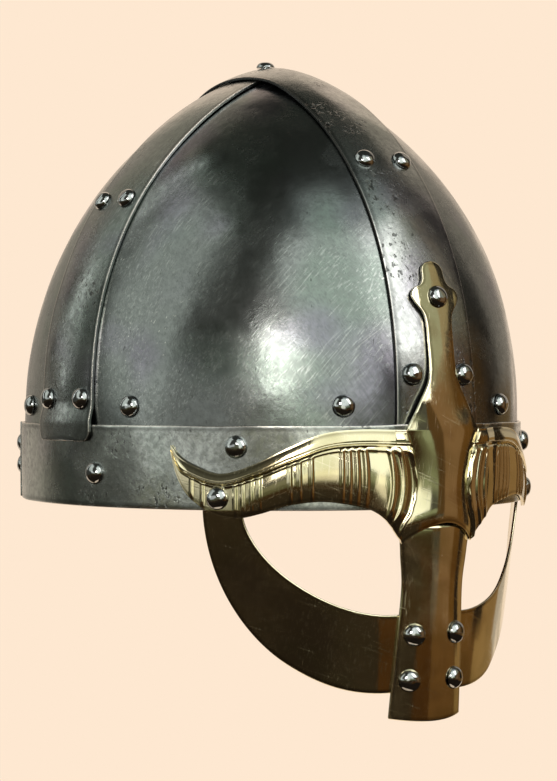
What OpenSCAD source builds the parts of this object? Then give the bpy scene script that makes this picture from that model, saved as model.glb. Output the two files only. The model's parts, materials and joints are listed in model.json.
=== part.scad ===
// Spectacle helmet: four dished steel panels, a crest band, a cross band and a brow band,
// with a brass brow plate, a nasal bar, two eye rings and a leather liner, all riveted.
// The rim lies in z = 0, +Z is up and the wearer looks along -Y.

/* [Bowl] */
// Length of the bowl over its panels, front to back
bowl_len = 230; // [218:1:246]
// Width of the bowl over its panels, side to side
bowl_w = 194; // [184:1:208]
// Height of the panels' apex above the rim
bowl_h = 177.4; // [168:0.1:190]
// How long the front profile stays upright before it turns in
front_upright = 2.26; // [2:0.02:2.6]
// How round the front profile is at the top, from 1 for a cone to 2 for a dome
front_round = 1.7; // [1.5:0.01:1.9]
// How long the side profile stays upright before it turns in
side_upright = 2.36; // [2:0.02:2.6]
// How round the side profile is at the top
side_round = 1.35; // [1.25:0.01:1.6]
// How long the rear profile stays upright before it turns in
rear_upright = 1.6; // [1.5:0.02:2]
// How round the rear profile is at the top
rear_round = 1.78; // [1.5:0.01:1.9]

/* [Steel sheet] */
// Thickness of the steel sheet
sheet_t = 1.2; // [0.9:0.1:1.6]
// Gap left between two lapped sheets
lap_gap = 0.2; // [0.2:0.05:0.4]
// Height of the lower edge of the panels above the rim, behind the brow band
panel_low = 9; // [8:0.5:10]
// Gap between two neighbouring panels under the bands
seam_gap = 1; // [0.6:0.1:2]
// Part of the side profile's half width that the panels leave open at the crown
crown_open = 0.06; // [0.05:0.01:0.08]

/* [Brow band] */
// Height of the brow band
brow_h = 32; // [29:0.5:35]
// Angle of the brow band's lapped joint from the front, on the wearer's right
joint_a = 135.5; // [130:0.5:142]
// Length of the brow band's lap at that joint
joint_lap = 24; // [18:1:30]
// Length over which a sheet bends to pass over another
bend_run = 8; // [6:1:10]

/* [Crest band and cross band] */
// Width of both bands at the brow band
band_foot_w = 39; // [36:0.5:42]
// Width of both bands at the crown
band_crown_w = 32; // [29:0.5:35]
// How far the crest band's ends tuck in behind the brow band
crest_tuck = 12; // [9:0.5:12.5]
// How far the cross band's ends lap down over the brow band
cross_lap = 6.5; // [5:0.5:8]
// Corner radius of the cross band's ends
end_r = 4; // [2:0.5:6]
// Height over which the cross band's ends bend out over the brow band
end_bend = 4.5; // [3:0.5:5]
// How far the cross band stands off the panels at the tightly curved crown
crown_lift = 0.4; // [0.3:0.05:0.8]
// Further clearance between the two bands, and under the rivet, at the crown
crown_gap = 0.25; // [0.2:0.05:0.5]
// Depth below the apex at which the cross band starts to stand off
crown_from = 45; // [40:1:50]
// Depth below the apex at which it stands off in full
crown_full = 12; // [10:1:14]
// Length over which the crest band comes down from the cross band
crest_settle = 40; // [24:1:48]

/* [Brow plate] */
// Thickness of the brass sheet
brass_t = 1; // [0.8:0.1:1.4]
// Length of each brow, measured round the helmet from the centre to the tip
brow_reach = 106.5; // [103:0.5:108]
// Drop of the brow's top edge below the brow band's top edge, over the eye
arch_drop = 1.6; // [1:0.2:3]
// Drop of the brow's top edge below the brow band's top edge, at its lowest point
dip_drop = 18; // [16:0.5:19]
// Width of the rolled border along the brow's top edge
border_w = 5.8; // [4.5:0.1:6.5]
// Height of the rolled border
border_h = 1.2; // [0.6:0.1:1.6]
// Height of the embossed flutes below the border
flute_h = 0.6; // [0.3:0.1:0.9]
// Half width of a flute
flute_w = 1.1; // [0.9:0.1:1.2]
// Half width of the bridge between the eyes at its narrowest
bridge_w = 11.2; // [10:0.2:12.5]
// Half width of the stem that climbs the crest band, at its narrowest
stem_w = 6.5; // [5.5:0.1:7.5]
// Half width of the finial over its two lobes
finial_w = 11.9; // [10.5:0.1:12.5]
// Height of the finial's tip above the rim
finial_top = 94.5; // [90:0.5:99]
// Angle by which the middle of the mask leans over, as fitted by hand
mask_tilt = 2; // [0:0.1:2.4]
// Further clearance between the stem and the crest band
stem_gap = 0.15; // [0.1:0.05:0.3]

/* [Nasal bar and eye rings] */
// Depth of the nasal bar below the rim
nasal_drop = 81; // [77:0.5:86]
// Half width of the nasal bar at its narrowest
nasal_w = 14.7; // [13.8:0.1:15.6]
// Half width of the nasal bar at its lower end
nasal_foot_w = 17.3; // [16.5:0.1:18.5]
// How far the nasal bar's section bulges forward
nasal_bulge = 3.6; // [2.5:0.1:4.5]
// Gap between the nasal bar's hidden root and the end of the crest band above it
root_gap = 1.5; // [1:0.5:2]
// Half width of that root
root_half = 15; // [14:0.5:15.5]
// Distance of the root's two hidden rivets from the centre line
root_u = 8; // [7:0.5:9]
// Distance of the root's hidden rivets below its top
root_inset = 4.7; // [4.4:0.1:6]
// Distance of the upper nasal rivets from the centre line
nasal_high_u = 9.8; // [9:0.1:10.5]
// Depth of the upper nasal rivets below the rim
nasal_high_z = 47.5; // [46:0.5:49]
// Distance of the lower nasal rivets from the centre line
nasal_low_u = 10.6; // [9.5:0.1:11.5]
// Depth of the lower nasal rivets below the rim
nasal_low_z = 65; // [63:0.5:66]
// Distance of each crescent rivet from the eye ring's outer edge
crescent_inset = 7; // [5:0.1:8]
// Height of each crescent rivet above the rim
crescent_z = 4.7; // [4:0.1:5]
// Distance of the finial's rivet below its tip
finial_rivet_drop = 13.8; // [13:0.1:14.5]
// How far the mask leans in for each millimetre below the rim
mask_lean = 0.06; // [0:0.01:0.1]
// How much further the eye rings lean in at the sides for each millimetre below the rim
ring_lean = 0.065; // [0:0.005:0.08]
// How far each brow's tip reaches past the outer edge of the eye ring below it
tip_past_ring = 12.2; // [11:0.1:14]
// Depth of each eye ring's outer edge below the rim
ring_drop = 70; // [67:0.5:73]
// Width of each eye ring at the rim
ring_side_w = 16; // [14:0.5:18]
// Width of each eye ring behind the nasal bar
ring_nose_w = 30; // [27:0.5:31]

/* [Rivets] */
// Diameter of a rivet's shank
shank_d = 3.8; // [3:0.1:4.2]
// Clearance round a shank in its hole
hole_gap = 0.1; // [0.1:0.05:0.2]
// Diameter of a rivet's domed head
head_d = 8.8; // [8:0.1:9]
// Height of a rivet's domed head
head_h = 3; // [2:0.1:3.6]
// Diameter of a rivet's hammered inner end
peen_d = 6.6; // [5.6:0.2:7]
// Height of a rivet's hammered inner end
peen_h = 1.3; // [0.8:0.1:1.8]
// Clearance under a flat head on the curved sheet
seat_gap = 0.12; // [0.1:0.02:0.2]
// Clearance between a hammered inner end and the hollow side of the sheet
peen_gap = 0.35; // [0.3:0.05:0.5]
// Diameter of the upper band rivets' heads
high_head_d = 8.4; // [8:0.1:8.8]
// Diameter of the crown rivet's head
crown_head_d = 7.8; // [7:0.2:9]
// Height of the crown rivet's head
crown_head_h = 2.4; // [1.8:0.1:3]
// Distance of the lower band rivets from the band's edge
low_inset = 6.6; // [6:0.1:7]
// Distance of the upper band rivets from the band's edge
high_inset = 8; // [7:0.2:9]
// Height of the lower crest rivets above the brow band
crest_low_rise = 19; // [16:0.5:20]
// Height of the lower cross band rivets above the brow band
cross_low_rise = 10.2; // [10:0.2:14]
// Height of the panel rivets above the brow band
panel_rise = 7.2; // [6.6:0.1:9]
// Distance of the upper crest rivets below the apex
crest_high_drop = 42; // [38:1:50]
// Distance of the upper cross band rivets below the apex
cross_high_drop = 55.4; // [50:0.1:64]
// Distance of the brow band's rivets below its top edge
brow_rivet_drop = 8; // [7:0.5:10]
// Height of the brow band's side rivets above the rim
side_rivet_z = 13.2; // [11:0.2:16]
// Height of the joint's lower rivet above the rim
joint_rivet_z = 13.4; // [12.6:0.1:14]
// Distance between the joint's two rivets
joint_pitch = 9.3; // [9.2:0.1:11]
// Angle of the panel rivets beside the crest band, from the front or the back
panel_near_a = 23.2; // [20:0.2:27]
// Angle of the panel rivets beside the cross band, from the front or the back
panel_side_a = 70.2; // [64:0.1:72]
// Angle of the brow band's rivets between the bands, from the front or the back
brow_rivet_a = 45.7; // [42:0.1:50]
// Angle of the brow band's side rivets from the front
side_rivet_a = 79.3; // [76:0.1:84]

/* [Leather liner] */
// Thickness of the liner's leather
leather_t = 2; // [1.5:0.1:3]
// Gap between the leather and what it lies on
leather_gap = 0.5; // [0.5:0.05:0.7]
// How far the headband starts below the brow band's top edge
liner_tuck = 2; // [1.5:0.5:4]
// Width of the liner's headband
liner_w = 28; // [25:0.5:32]
// Gap between the headband's two ends, at the back
liner_slit = 1.6; // [1.2:0.2:3]
// Width of the two crossed head straps
strap_w = 35; // [32:0.5:38]
// How far the straps hang below the bowl's apex
strap_hang = 24; // [18:1:32]
// Clearance between a flat washer and the hollow side of the leather
washer_gap = 0.65; // [0.6:0.05:0.8]
// Thickness of the washers under the rivets' inner ends
washer_t = 0.8; // [0.6:0.1:1.2]
// Diameter of the washers
washer_d = 10; // [9:0.5:11]

/* [Hidden] */
$fn = 48;

steel = "#5f6668";
bright = "#b9bdbd";
brass = "#a3803c";
hide = "#7a4a2c";

half_l = bowl_len / 2;
half_w = bowl_w / 2;
layer = sheet_t + lap_gap;
hole_r = shank_d / 2 + hole_gap;
// Distance round the helmet from the centre to each eye ring's outer edge
ring_reach = brow_reach - tip_past_ring;
far = 400;
hole_cut = 40;

// A smooth step from 0 at lo to 1 at hi
function ramp(x, lo, hi) =
    let (t = min(1, max(0, (x - lo) / (hi - lo))))
    t * t * (3 - 2 * t);

// The different numbers of a list in rising order
function sorted(list) =
    len(list) < 2
        ? list
        : concat(
            sorted([for (x = list) if (x < list[0]) x]),
            [list[0]],
            sorted([for (x = list) if (x > list[0]) x])
        );

// The slope of a curve through pts at its point i
function slope(pts, i) =
    let (p = pts[max(0, i - 1)], q = pts[min(len(pts) - 1, i + 1)])
    (q[1] - p[1]) / (q[0] - p[0]);

// The number of the last point of pts whose first value is not above x
function span_at(pts, x, i = 0) =
    (i >= len(pts) - 2 || pts[i + 1][0] > x) ? i : span_at(pts, x, i + 1);

// A smooth curve through pts, read at x
function curve(pts, x) =
    let (
        i = span_at(pts, x),
        h = pts[i + 1][0] - pts[i][0],
        t = min(1, max(0, (x - pts[i][0]) / h)),
        a = pts[i][1],
        b = pts[i + 1][1],
        da = h * slope(pts, i),
        db = h * slope(pts, i + 1)
    )
    a + da * t + (3 * (b - a) - 2 * da - db) * t * t + (2 * (a - b) + da + db) * t * t * t;

// The bowl's surface. Each profile is 1 at the brow and 0 at the apex, and off is the
// distance of a sheet's face outside the panels' outer face.
function rise(z, off) = max(0, (z - brow_h) / (bowl_h + off - brow_h));
function profile(s, upright, round) = s >= 1 ? 0 : pow(1 - pow(s, upright), 1 / round);
function side_part(z, off) = profile(rise(z, off), side_upright, side_round);
function end_part(z, off, front) =
    front
        ? profile(rise(z, off), front_upright, front_round)
        : profile(rise(z, off), rear_upright, rear_round);

// The point of the bowl at height z and angle a, which is 0 at the front and 90 on the left
function shell(a, z, off) = [
    (half_w + off) * side_part(z, off) * sin(a),
    -(half_l + off) * end_part(z, off, cos(a) > 0) * cos(a),
    z
];

function inside(p, off) =
    let (w = (half_w + off) * side_part(p.z, off), l = (half_l + off) * end_part(p.z, off, p.y < 0))
    w > 0 && l > 0 && pow(p.x / w, 2) + pow(p.y / l, 2) < 1;

// Where a line from o inside the bowl, along d, meets the face at off
function hit(o, d, off, lo = 0, hi = far, n = 26) =
    n == 0
        ? o + d * (lo + hi) / 2
        : let (m = (lo + hi) / 2)
          inside(o + d * m, off) ? hit(o, d, off, m, hi, n - 1) : hit(o, d, off, lo, m, n - 1);

function unit(v) = v / norm(v);

// The outward direction of the bowl at angle a and height z
function shell_out(a, z, off) =
    unit(cross(
        shell(a + 0.2, z, off) - shell(a - 0.2, z, off),
        shell(a, z + 0.2, off) - shell(a, z - 0.2, off)
    ));

// How far the face at off lies behind point p, along the direction n
function depth(p, n, off, lo = 0, hi = 40, k = 22) =
    k == 0
        ? (lo + hi) / 2
        : let (m = (lo + hi) / 2)
          inside(p - n * m, off) ? depth(p, n, off, lo, m, k - 1) : depth(p, n, off, m, hi, k - 1);

// A closed sheet between two faces, each a list of rows of points. The cells that keep()
// leaves out stay open, and turn says that the rows run the other way round.
module sheet(outer, inner, turn = false, keep = function (i, j) true) {
    n = len(outer[0]);
    m = len(outer);
    size = n * m;
    on = function (i, j) i >= 0 && j >= 0 && i < n - 1 && j < m - 1 && keep(i, j);
    walls = function (p, q) [[q, p, size + p], [q, size + p, size + q]];
    faces = [
        for (j = [0 : m - 2], i = [0 : n - 2])
            if (on(i, j))
                let (a = j * n + i, b = a + 1, c = b + n, d = a + n)
                each concat(
                    [[a, b, c], [a, c, d]],
                    [[size + a, size + c, size + b], [size + a, size + d, size + c]],
                    on(i, j - 1) ? [] : walls(a, b),
                    on(i + 1, j) ? [] : walls(b, c),
                    on(i, j + 1) ? [] : walls(c, d),
                    on(i - 1, j) ? [] : walls(d, a)
                )
    ];
    polyhedron(
        points = concat([for (r = outer) each r], [for (r = inner) each r]),
        faces = turn ? [for (f = faces) [f[2], f[1], f[0]]] : faces,
        convexity = 10
    );
}

// Rivets

// Stands its children at a place, [point, outward direction], with +Z outward
module at(place) {
    n = place[1];
    translate(place[0])
        rotate([0, acos(n.z), atan2(n.y, n.x)])
            children();
}

module cap(d, h) {
    r = (d * d / 4 + h * h) / (2 * h);
    intersection() {
        translate([0, 0, h - r])
            sphere(r);
        cylinder(d = 2 * d, h = 2 * h);
    }
}

// A rivet whose head sits on z = 0 and whose inner end holds sheets of thickness grip
module rivet(grip, head = head_d, high = head_h) {
    translate([0, 0, seat_gap])
        cap(head, high);
    shank(grip, seat_gap + high / 2);
}

// The shank, which runs up to height top, and the hammered inner end below it
module shank(grip, top) {
    low = -grip - peen_gap;
    translate([0, 0, low - peen_h / 2])
        cylinder(d = shank_d, h = top - low + peen_h / 2);
    translate([0, 0, low])
        mirror([0, 0, 1])
            cap(peen_d, peen_h);
}

module hole() {
    translate([0, 0, -hole_cut / 2])
        cylinder(r = hole_r, h = hole_cut);
}

module holes(places) {
    for (p = places)
        at(p)
            hole();
}

// Places on the bowl: side is -1 or 1, and back turns a front place to the rear
function bowl_place(a, z, off) = [shell(a, z, off), shell_out(a, z, off)];
function band_half(z) =
    (band_foot_w + (band_crown_w - band_foot_w) * rise(z, 0)) / 2;
function crest_place(side, back, z, inset, off) =
    let (a = asin((band_half(z) - inset) / ((half_w + off) * side_part(z, off))))
    bowl_place(back ? 180 - side * a : side * a, z, off);
function cross_place(side, back, z, inset, off) =
    let (a = acos((band_half(z) - inset) / ((half_l + off) * end_part(z, off, !back))))
    bowl_place(side * (back ? 180 - a : a), z, off);

band_out = layer;
crest_low_z = brow_h + crest_low_rise;
crest_high_z = bowl_h - crest_high_drop;
cross_low_z = brow_h + cross_low_rise;
cross_high_z = bowl_h - cross_high_drop;
panel_rivet_z = brow_h + panel_rise;
brow_rivet_z = brow_h - brow_rivet_drop;

crest_low = [
    for (side = [-1, 1], back = [false, true])
        crest_place(side, back, crest_low_z, low_inset, band_out)
];
crest_high = [
    for (side = [-1, 1], back = [false, true])
        crest_place(side, back, crest_high_z, high_inset, band_out)
];
cross_low = [
    for (side = [-1, 1], back = [false, true])
        cross_place(side, back, cross_low_z, low_inset, band_out)
];
cross_high = [
    for (side = [-1, 1], back = [false, true])
        cross_place(side, back, cross_high_z, high_inset, band_out)
];
panel_places = [
    for (side = [-1, 1], a = [panel_near_a, panel_side_a, 180 - panel_side_a, 180 - panel_near_a])
        bowl_place(side * a, panel_rivet_z, 0)
];
brow_places = concat(
    [for (side = [-1, 1]) bowl_place(side * brow_rivet_a, brow_rivet_z, band_out)],
    [for (side = [-1, 1]) bowl_place(side * side_rivet_a, side_rivet_z, band_out)],
    [bowl_place(180 - brow_rivet_a, brow_rivet_z, band_out)]
);
joint_places = [for (z = [joint_rivet_z, joint_rivet_z + joint_pitch]) bowl_place(-joint_a, z, band_out + layer)];
crown_place = [[0, 0, bowl_h + band_out + layer + crown_lift + crown_gap], [0, 0, 1]];
// Height of the cross band's under side at the edge of the crown rivet's inner end
crown_under = hit([peen_d / 2, 0, brow_h], [0, 0, 1], lap_gap + crown_lift).z - crown_gap;

// The liner's layers, as faces inside the panels
liner_out = -sheet_t - leather_gap;
liner_in = liner_out - leather_t;
strap_out = liner_in - leather_gap;
strap_in = strap_out - leather_t;

// How thick the stack is under a rivet on the bowl, down to the face at off
function grip(place, off) = depth(place[0], place[1], off);

// Panels

panel_cols = 14;
panel_rows = 14;
// Rows lie closer together towards the crown, by this power of a sine
row_power = 1.15;
// The part of the rise above the brow band that the panels reach
crown_rise = pow(1 - pow(crown_open, side_round), 1 / side_upright);
crown_turn = asin(pow(crown_rise, 1 / row_power));

// A quarter of the bowl, between the crest band and the cross band
module panel(side, back) {
    flip = side * (back ? -1 : 1);
    rows = concat(
        [panel_low],
        [
            for (k = [0 : panel_rows])
                brow_h + (bowl_h - brow_h) * pow(sin(crown_turn * k / panel_rows), row_power)
        ]
    );
    clear = seam_gap / 2;
    face = function (off) [
        for (z = rows) [
            for (k = [0 : panel_cols])
                let (
                    zf = z > brow_h ? z + off : z,
                    t = 90 * k / panel_cols,
                    p = shell(side * (back ? 180 - t : t), zf, off)
                )
                [
                    side * max(clear, side * p.x),
                    back ? max(clear, p.y) : min(-clear, p.y),
                    p.z
                ]
        ]
    ];
    color(steel)
        difference() {
            sheet(face(0), face(-sheet_t), turn = flip > 0);
            holes(concat(crest_low, crest_high, cross_low, cross_high, panel_places));
            holes(concat(brow_places, joint_places, [finial_place], root_places));
        }
}

// Bands

// Half width of a band at height z, rounded off at an end that stops at z = low
function end_half(z, low, r) =
    band_half(z) - r + sqrt(r * r - pow(r - min(r, z - low), 2));

function wall_x(y, off) = (half_w + off) * sqrt(1 - pow(y / (half_l + off), 2));
function wall_y(x, off) = (half_l + off) * sqrt(1 - pow(x / (half_w + off), 2));

// A point on a strip that runs over the crown. A station is [end, v]: end is -1 or 1 on
// the upright wall, where v is a height, and 0 on the dome, where v is an angle from the
// front (or from the wearer's right) over the crown. t is the distance off the centre line.
function strip_point(across, station, t, off) =
    let (end = station[0], v = station[1])
    across
        ? (end == 0 ? hit([0, t, brow_h], [-cos(v), 0, sin(v)], off) : [end * wall_x(t, off), t, v])
        : (end == 0 ? hit([t, 0, brow_h], [0, -cos(v), sin(v)], off) : [t, end * wall_y(t, off), v]);

// Stations from one end at height low, over the crown, to the other end
function stations(heights, steps) = concat(
    [for (z = heights) [-1, z]],
    [for (k = [0 : steps]) [0, 180 * k / steps]],
    [for (k = [len(heights) - 1 : -1 : 0]) [1, heights[k]]]
);

// A bent strip. half_at gives its half width at a height, and off_at the place of its
// outer face at a point of the bowl.
module strip(across, heights, steps, cols, thick, half_at, off_at) {
    list = stations(heights, steps);
    face = function (under) [
        for (s = list)
            let (
                mid = strip_point(across, s, 0, 0),
                half = half_at(mid.z),
                off = off_at(mid) - under
            )
            [for (k = [0 : cols]) strip_point(across, s, half * (2 * k / cols - 1), off)]
    ];
    sheet(face(0), face(thick), turn = !across);
}

// How far past the cross band's edges the crest band stays clear of it
crown_margin = 2;
band_steps = 44;
band_cols = 4;
crown_half = band_crown_w / 2 + crown_margin;

// 1 over the crown, where both bands stand off the panels, and 0 lower down
function at_crown(z) = ramp(z, bowl_h - crown_from, bowl_h - crown_full);

module crest_band() {
    low = brow_h - crest_tuck;
    color(steel)
        difference() {
            strip(
                false,
                [low, brow_h - crest_tuck / 2],
                band_steps,
                band_cols,
                sheet_t,
                function (z) band_half(z),
                function (p)
                    band_out + crown_lift * at_crown(p.z)
                    + (p.z > brow_h
                        ? (layer + crown_gap)
                            * (1 - ramp(abs(p.y), crown_half, crown_half + crest_settle))
                        : 0)
            );
            holes(concat(crest_low, crest_high, [crown_place, finial_place]));
        }
}

module cross_band() {
    low = brow_h - cross_lap;
    color(steel)
        difference() {
            strip(
                true,
                [low, low + end_r * 0.15, low + end_r * 0.5, low + end_r],
                band_steps,
                band_cols,
                sheet_t,
                function (z) z < brow_h ? end_half(z, low, end_r) : band_half(z),
                function (p)
                    band_out + crown_lift * at_crown(p.z)
                    + layer * (1 - ramp(p.z, brow_h + 0.5, brow_h + 0.5 + end_bend))
            );
            holes(concat(cross_low, cross_high, [crown_place]));
        }
}

// Brow band

// 1 where the brow band passes over the crest band's ends, and 0 elsewhere
function over_crest(a) =
    1 - ramp(half_w * abs(sin(a)), band_foot_w / 2 + 1, band_foot_w / 2 + 1 + bend_run);
function brow_in(a) = lap_gap + layer * over_crest(a);

brow_step = 3;
joint_turn = joint_lap / half_l * 180 / PI;
joint_bend = bend_run / half_l * 180 / PI;

module brow_band() {
    start = -joint_a - joint_turn / 2;
    count = ceil((360 + joint_turn) / brow_step);
    turns = [for (k = [0 : count]) start + (360 + joint_turn) * k / count];
    ring_off = function (a)
        brow_in(a) + layer * ramp(a, start + 360 - joint_bend, start + 360);
    rim = function (a, off) [(half_w + off) * sin(a), -(half_l + off) * cos(a)];
    color(steel)
        difference() {
            linear_extrude(brow_h)
                polygon(concat(
                    [for (a = turns) rim(a, ring_off(a) + sheet_t)],
                    [for (k = [count : -1 : 0]) rim(turns[k], ring_off(turns[k]))]
                ));
            holes(concat(brow_places, joint_places, crescent_places));
            for (p = root_places)
                at(p)
                    translate([0, 0, hole_gap]) {
                        hole();
                        sink(hole_gap);
                    }
        }
}

// Mask

// Angle on the bowl's wall at a distance u round it from the front
wall_arcs = [
    for (a = 0, u = 0; a <= 90; u = u + norm(shell(a + 1, 0, 0) - shell(a, 0, 0)), a = a + 1)
        [u, a]
];
function angle_at(u) = sign(u) * lookup(abs(u), wall_arcs);

// Half width of the ridge down the middle of the mask, from the nasal bar to the finial
ridge_rows = [
    [-nasal_drop, nasal_foot_w],
    [-49, nasal_w + 1],
    [-29, nasal_w],
    [-16, 16],
    [-8, 16.2],
    [0, bridge_w + 1.4],
    [9, bridge_w],
    [19, bridge_w + 1.5],
    [brow_h - 2, bridge_w + 5.4]
];
stem_rows = [
    [brow_h - 2, bridge_w + 5.4],
    [brow_h + 8, stem_w + 5.4],
    [brow_h + 18, stem_w + 0.6],
    [finial_top - 30, stem_w],
    [finial_top - 21, stem_w + 0.7],
    [finial_top - 15.6, finial_w - 1],
    [finial_top - 13.2, finial_w],
    [finial_top - 10.6, finial_w - 1.6],
    [finial_top - 9.2, stem_w + 0.8],
    [finial_top - 6, stem_w],
    [finial_top - 3, stem_w - 1.8],
    [finial_top, 1]
];
function ridge_half(z) = z < brow_h - 2 ? curve(ridge_rows, z) : curve(stem_rows, z);
bulge_rows = [
    [-nasal_drop, nasal_bulge],
    [-16, nasal_bulge],
    [4, 0.75 * nasal_bulge],
    [brow_h - 4, 0.55 * nasal_bulge],
    [brow_h + 14, 0.35 * nasal_bulge],
    [finial_top, 0.15 * nasal_bulge]
];
// How far the ridge bulges forward at distance u from the centre line
function bulge(u, z) = curve(bulge_rows, z) * max(0, 1 - pow(u / ridge_half(z), 2));

// Distance from the centre line to where each brow leaves the bridge
foot_u = bridge_w + 5.8;
// Height at which the mask's middle line crosses the helmet's centre line
tilt_z = brow_h - 4;
// Distance from the centre line past which the mask is not tilted
side_u = 60;

// The distance round the helmet of a point that a straight mask has at distance u
function tilted(u, z) = u + tan(mask_tilt) * (z - tilt_z) * (1 - ramp(abs(u), foot_u, side_u));

// A point of the mask at distance u from its middle line and height z. forward moves it
// along -Y.
function mask_point(u, z, off, forward = 0) =
    let (
        e = off - (mask_lean + ring_lean * ramp(abs(u), foot_u, side_u)) * max(0, -z),
        a = asin(sin(angle_at(tilted(u, z))) / max(0.2, side_part(z, e)))
    )
    shell(a, z, e) - [0, forward, 0];

// The inner face of the brow plate over the brow band, the crest band and the nasal bar
function plate_in(u, z) =
    layer + lap_gap
    + stem_gap * ramp(z, brow_h, brow_h + bend_run)
    + layer * over_crest(angle_at(tilted(u, z)))
        * ramp(z, arch_foot, -1)
        * (1 - ramp(z, brow_h + 1, brow_h + 1 + bend_run));

// Distance round the helmet to a place on a brow, from 0 at the bridge to 1 at the tip
function along(part) = foot_u + (brow_reach - foot_u) * part;

// The brow's top edge and lower edge, as heights over the distance u from the centre
top_edge = [
    [foot_u, brow_h - arch_drop - 0.4],
    [along(0.208), brow_h - arch_drop],
    [along(0.35), brow_h - arch_drop - 1.6],
    [along(0.492), brow_h - arch_drop - 6.9],
    [along(0.634), brow_h - (arch_drop + 3 * dip_drop) / 4 - 0.7],
    [along(0.776), brow_h - dip_drop],
    [along(0.913), brow_h - dip_drop + 3.8],
    [along(0.973), brow_h - dip_drop + 7.3],
    [brow_reach, brow_h - dip_drop + 10.6]
];
low_edge = [
    [foot_u, -12.8],
    [along(0.033), -8.8],
    [along(0.087), -4.5],
    [along(0.164), 0.2],
    [along(0.262), 2.6],
    [along(0.361), 3.4],
    [along(0.492), 2],
    [along(0.601), -1],
    [along(0.7), -2.8],
    [along(0.798), -1.5],
    [along(0.913), 5],
    [along(0.967), 12.1],
    [brow_reach, 21]
];
arch_top = -5.2;
arch_foot = low_edge[0][1];

flutes = [
    for (part = [
        0.015, 0.059, 0.097, 0.186, 0.216, 0.244, 0.269, 0.393, 0.442, 0.481,
        0.607, 0.64, 0.678, 0.71, 0.852, 0.902
    ])
        along(part)
];
brow_fill = [
    for (part = [0.137, 0.322, 0.546, 0.76, 0.803, 0.94, 0.973, 0.989])
        along(part)
];
// The columns of points along a brow: each flute's two sides and its top, and some between
wing_u = sorted(concat(
    [foot_u, brow_reach],
    [for (f = flutes, step = [-1, 0, 1]) f + step * flute_w],
    brow_fill
));
body_rows = [0, 0.12, 0.4, 0.7, 1];
roll_rows = [0.3, 0.7, 1];
plate_rows = len(body_rows) + len(roll_rows);

// Height of the border at distance u, which narrows towards the dip and follows the slope
function border_at(u) =
    let (m = (curve(top_edge, u + 0.5) - curve(top_edge, u - 0.5)))
    border_w * (1 - 0.3 * ramp(u, 45, 78)) * sqrt(1 + m * m);

// Height of row j of the brow plate between its lower edge and its top edge
function row_z(j, low, top, border) =
    let (line = top - min(border, 0.5 * (top - low)))
    j == 1 && low < -2
        ? -1
        : j < len(body_rows)
            ? low + (line - low) * body_rows[j]
            : line + (top - line) * roll_rows[j - len(body_rows)];
function flute_at(u) =
    max([for (f = flutes) max(0, 1 - abs(u - f) / flute_w)]);

// The raised work at column u and row j: the rolled border, or a flute
function raised(u, j) =
    j >= len(body_rows)
        ? border_h * sin(180 * roll_rows[j - len(body_rows)])
        : flute_h * flute_at(u) * (j == len(body_rows) - 1 ? 0 : j == 0 ? 0.5 : 1);

bridge_cols = 6;
stem_zs = [
    for (z = [brow_h + 1.5, brow_h + 4.5, brow_h + 8, brow_h + 12, brow_h + 17]) z,
    for (d = [35, 29, 24, 20, 17.5, 15.6, 14.4, 13.2, 11.8, 10.6, 9.9, 9.2, 8, 6, 4.2, 2.6, 1.2, 0])
        finial_top - d
];

// One row of the brow plate's points across both wings and the bridge
function plate_row(j, under) =
    let (
        n = len(wing_u),
        wing = function (side) [
            for (k = [1 : n - 1])
                let (
                    v = wing_u[k],
                    z = row_z(j, curve(low_edge, v), curve(top_edge, v), border_at(v)),
                    near = 1 - ramp(v, foot_u, foot_u + 28),
                    u = v + (ridge_half(z) - foot_u) * near,
                    off = plate_in(u, z) + brass_t - under + raised(v, j)
                )
                mask_point(side * u, z, off)
        ],
        left = wing(1),
        right = wing(-1),
        bridge = [
            for (k = [0 : bridge_cols])
                let (
                    s = 2 * k / bridge_cols - 1,
                    low = arch_top + (arch_foot - arch_top) * s * s,
                    z = row_z(j, low, top_edge[0][1], border_w),
                    u = s * ridge_half(z)
                )
                mask_point(u, z, plate_in(u, z) + brass_t - under, bulge(u, z))
        ]
    )
    concat([for (k = [n - 2 : -1 : 0]) right[k]], bridge, left);

// One row of the stem and finial, with unused points beside it to fill the row
function stem_row(z, under) =
    let (n = len(wing_u) - 1)
    [
        for (k = [-n : bridge_cols + n])
            let (
                s = 2 * min(bridge_cols, max(0, k)) / bridge_cols - 1,
                u = s * ridge_half(z)
            )
            mask_point(u, z, plate_in(u, z) + brass_t - under, bulge(u, z))
    ];

module brow_plate() {
    n = len(wing_u) - 1;
    face = function (under) concat(
        [for (j = [0 : plate_rows - 1]) plate_row(j, under)],
        [for (z = stem_zs) stem_row(z, under)]
    );
    color(brass)
        difference() {
            sheet(
                face(0),
                face(brass_t),
                turn = true,
                keep = function (i, j) j < plate_rows - 1 || (i >= n && i < n + bridge_cols)
            );
            holes(concat(crescent_places, [finial_place]));
        }
}

root_top = brow_h - crest_tuck - root_gap;
root_z = root_top - root_inset;
nasal_rows = [
    for (z = [root_top, root_top / 2, 0]) z,
    for (z = [-2.5, -5, -7.5, -10, -13, -17, -22, -29, -37, -45, -53, -61, -68]) z,
    for (d = [7, 3, 0]) d - nasal_drop
];
function nasal_half(z) =
    z > -8 ? ridge_half(-8) + (root_half - ridge_half(-8)) * ramp(z, -8, 4) : ridge_half(z);
function nasal_forward(u, z) =
    nasal_bulge * ramp(-z, 0, 8) * max(0, 1 - pow(u / nasal_half(z), 2));
nasal_cols = 8;

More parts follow.
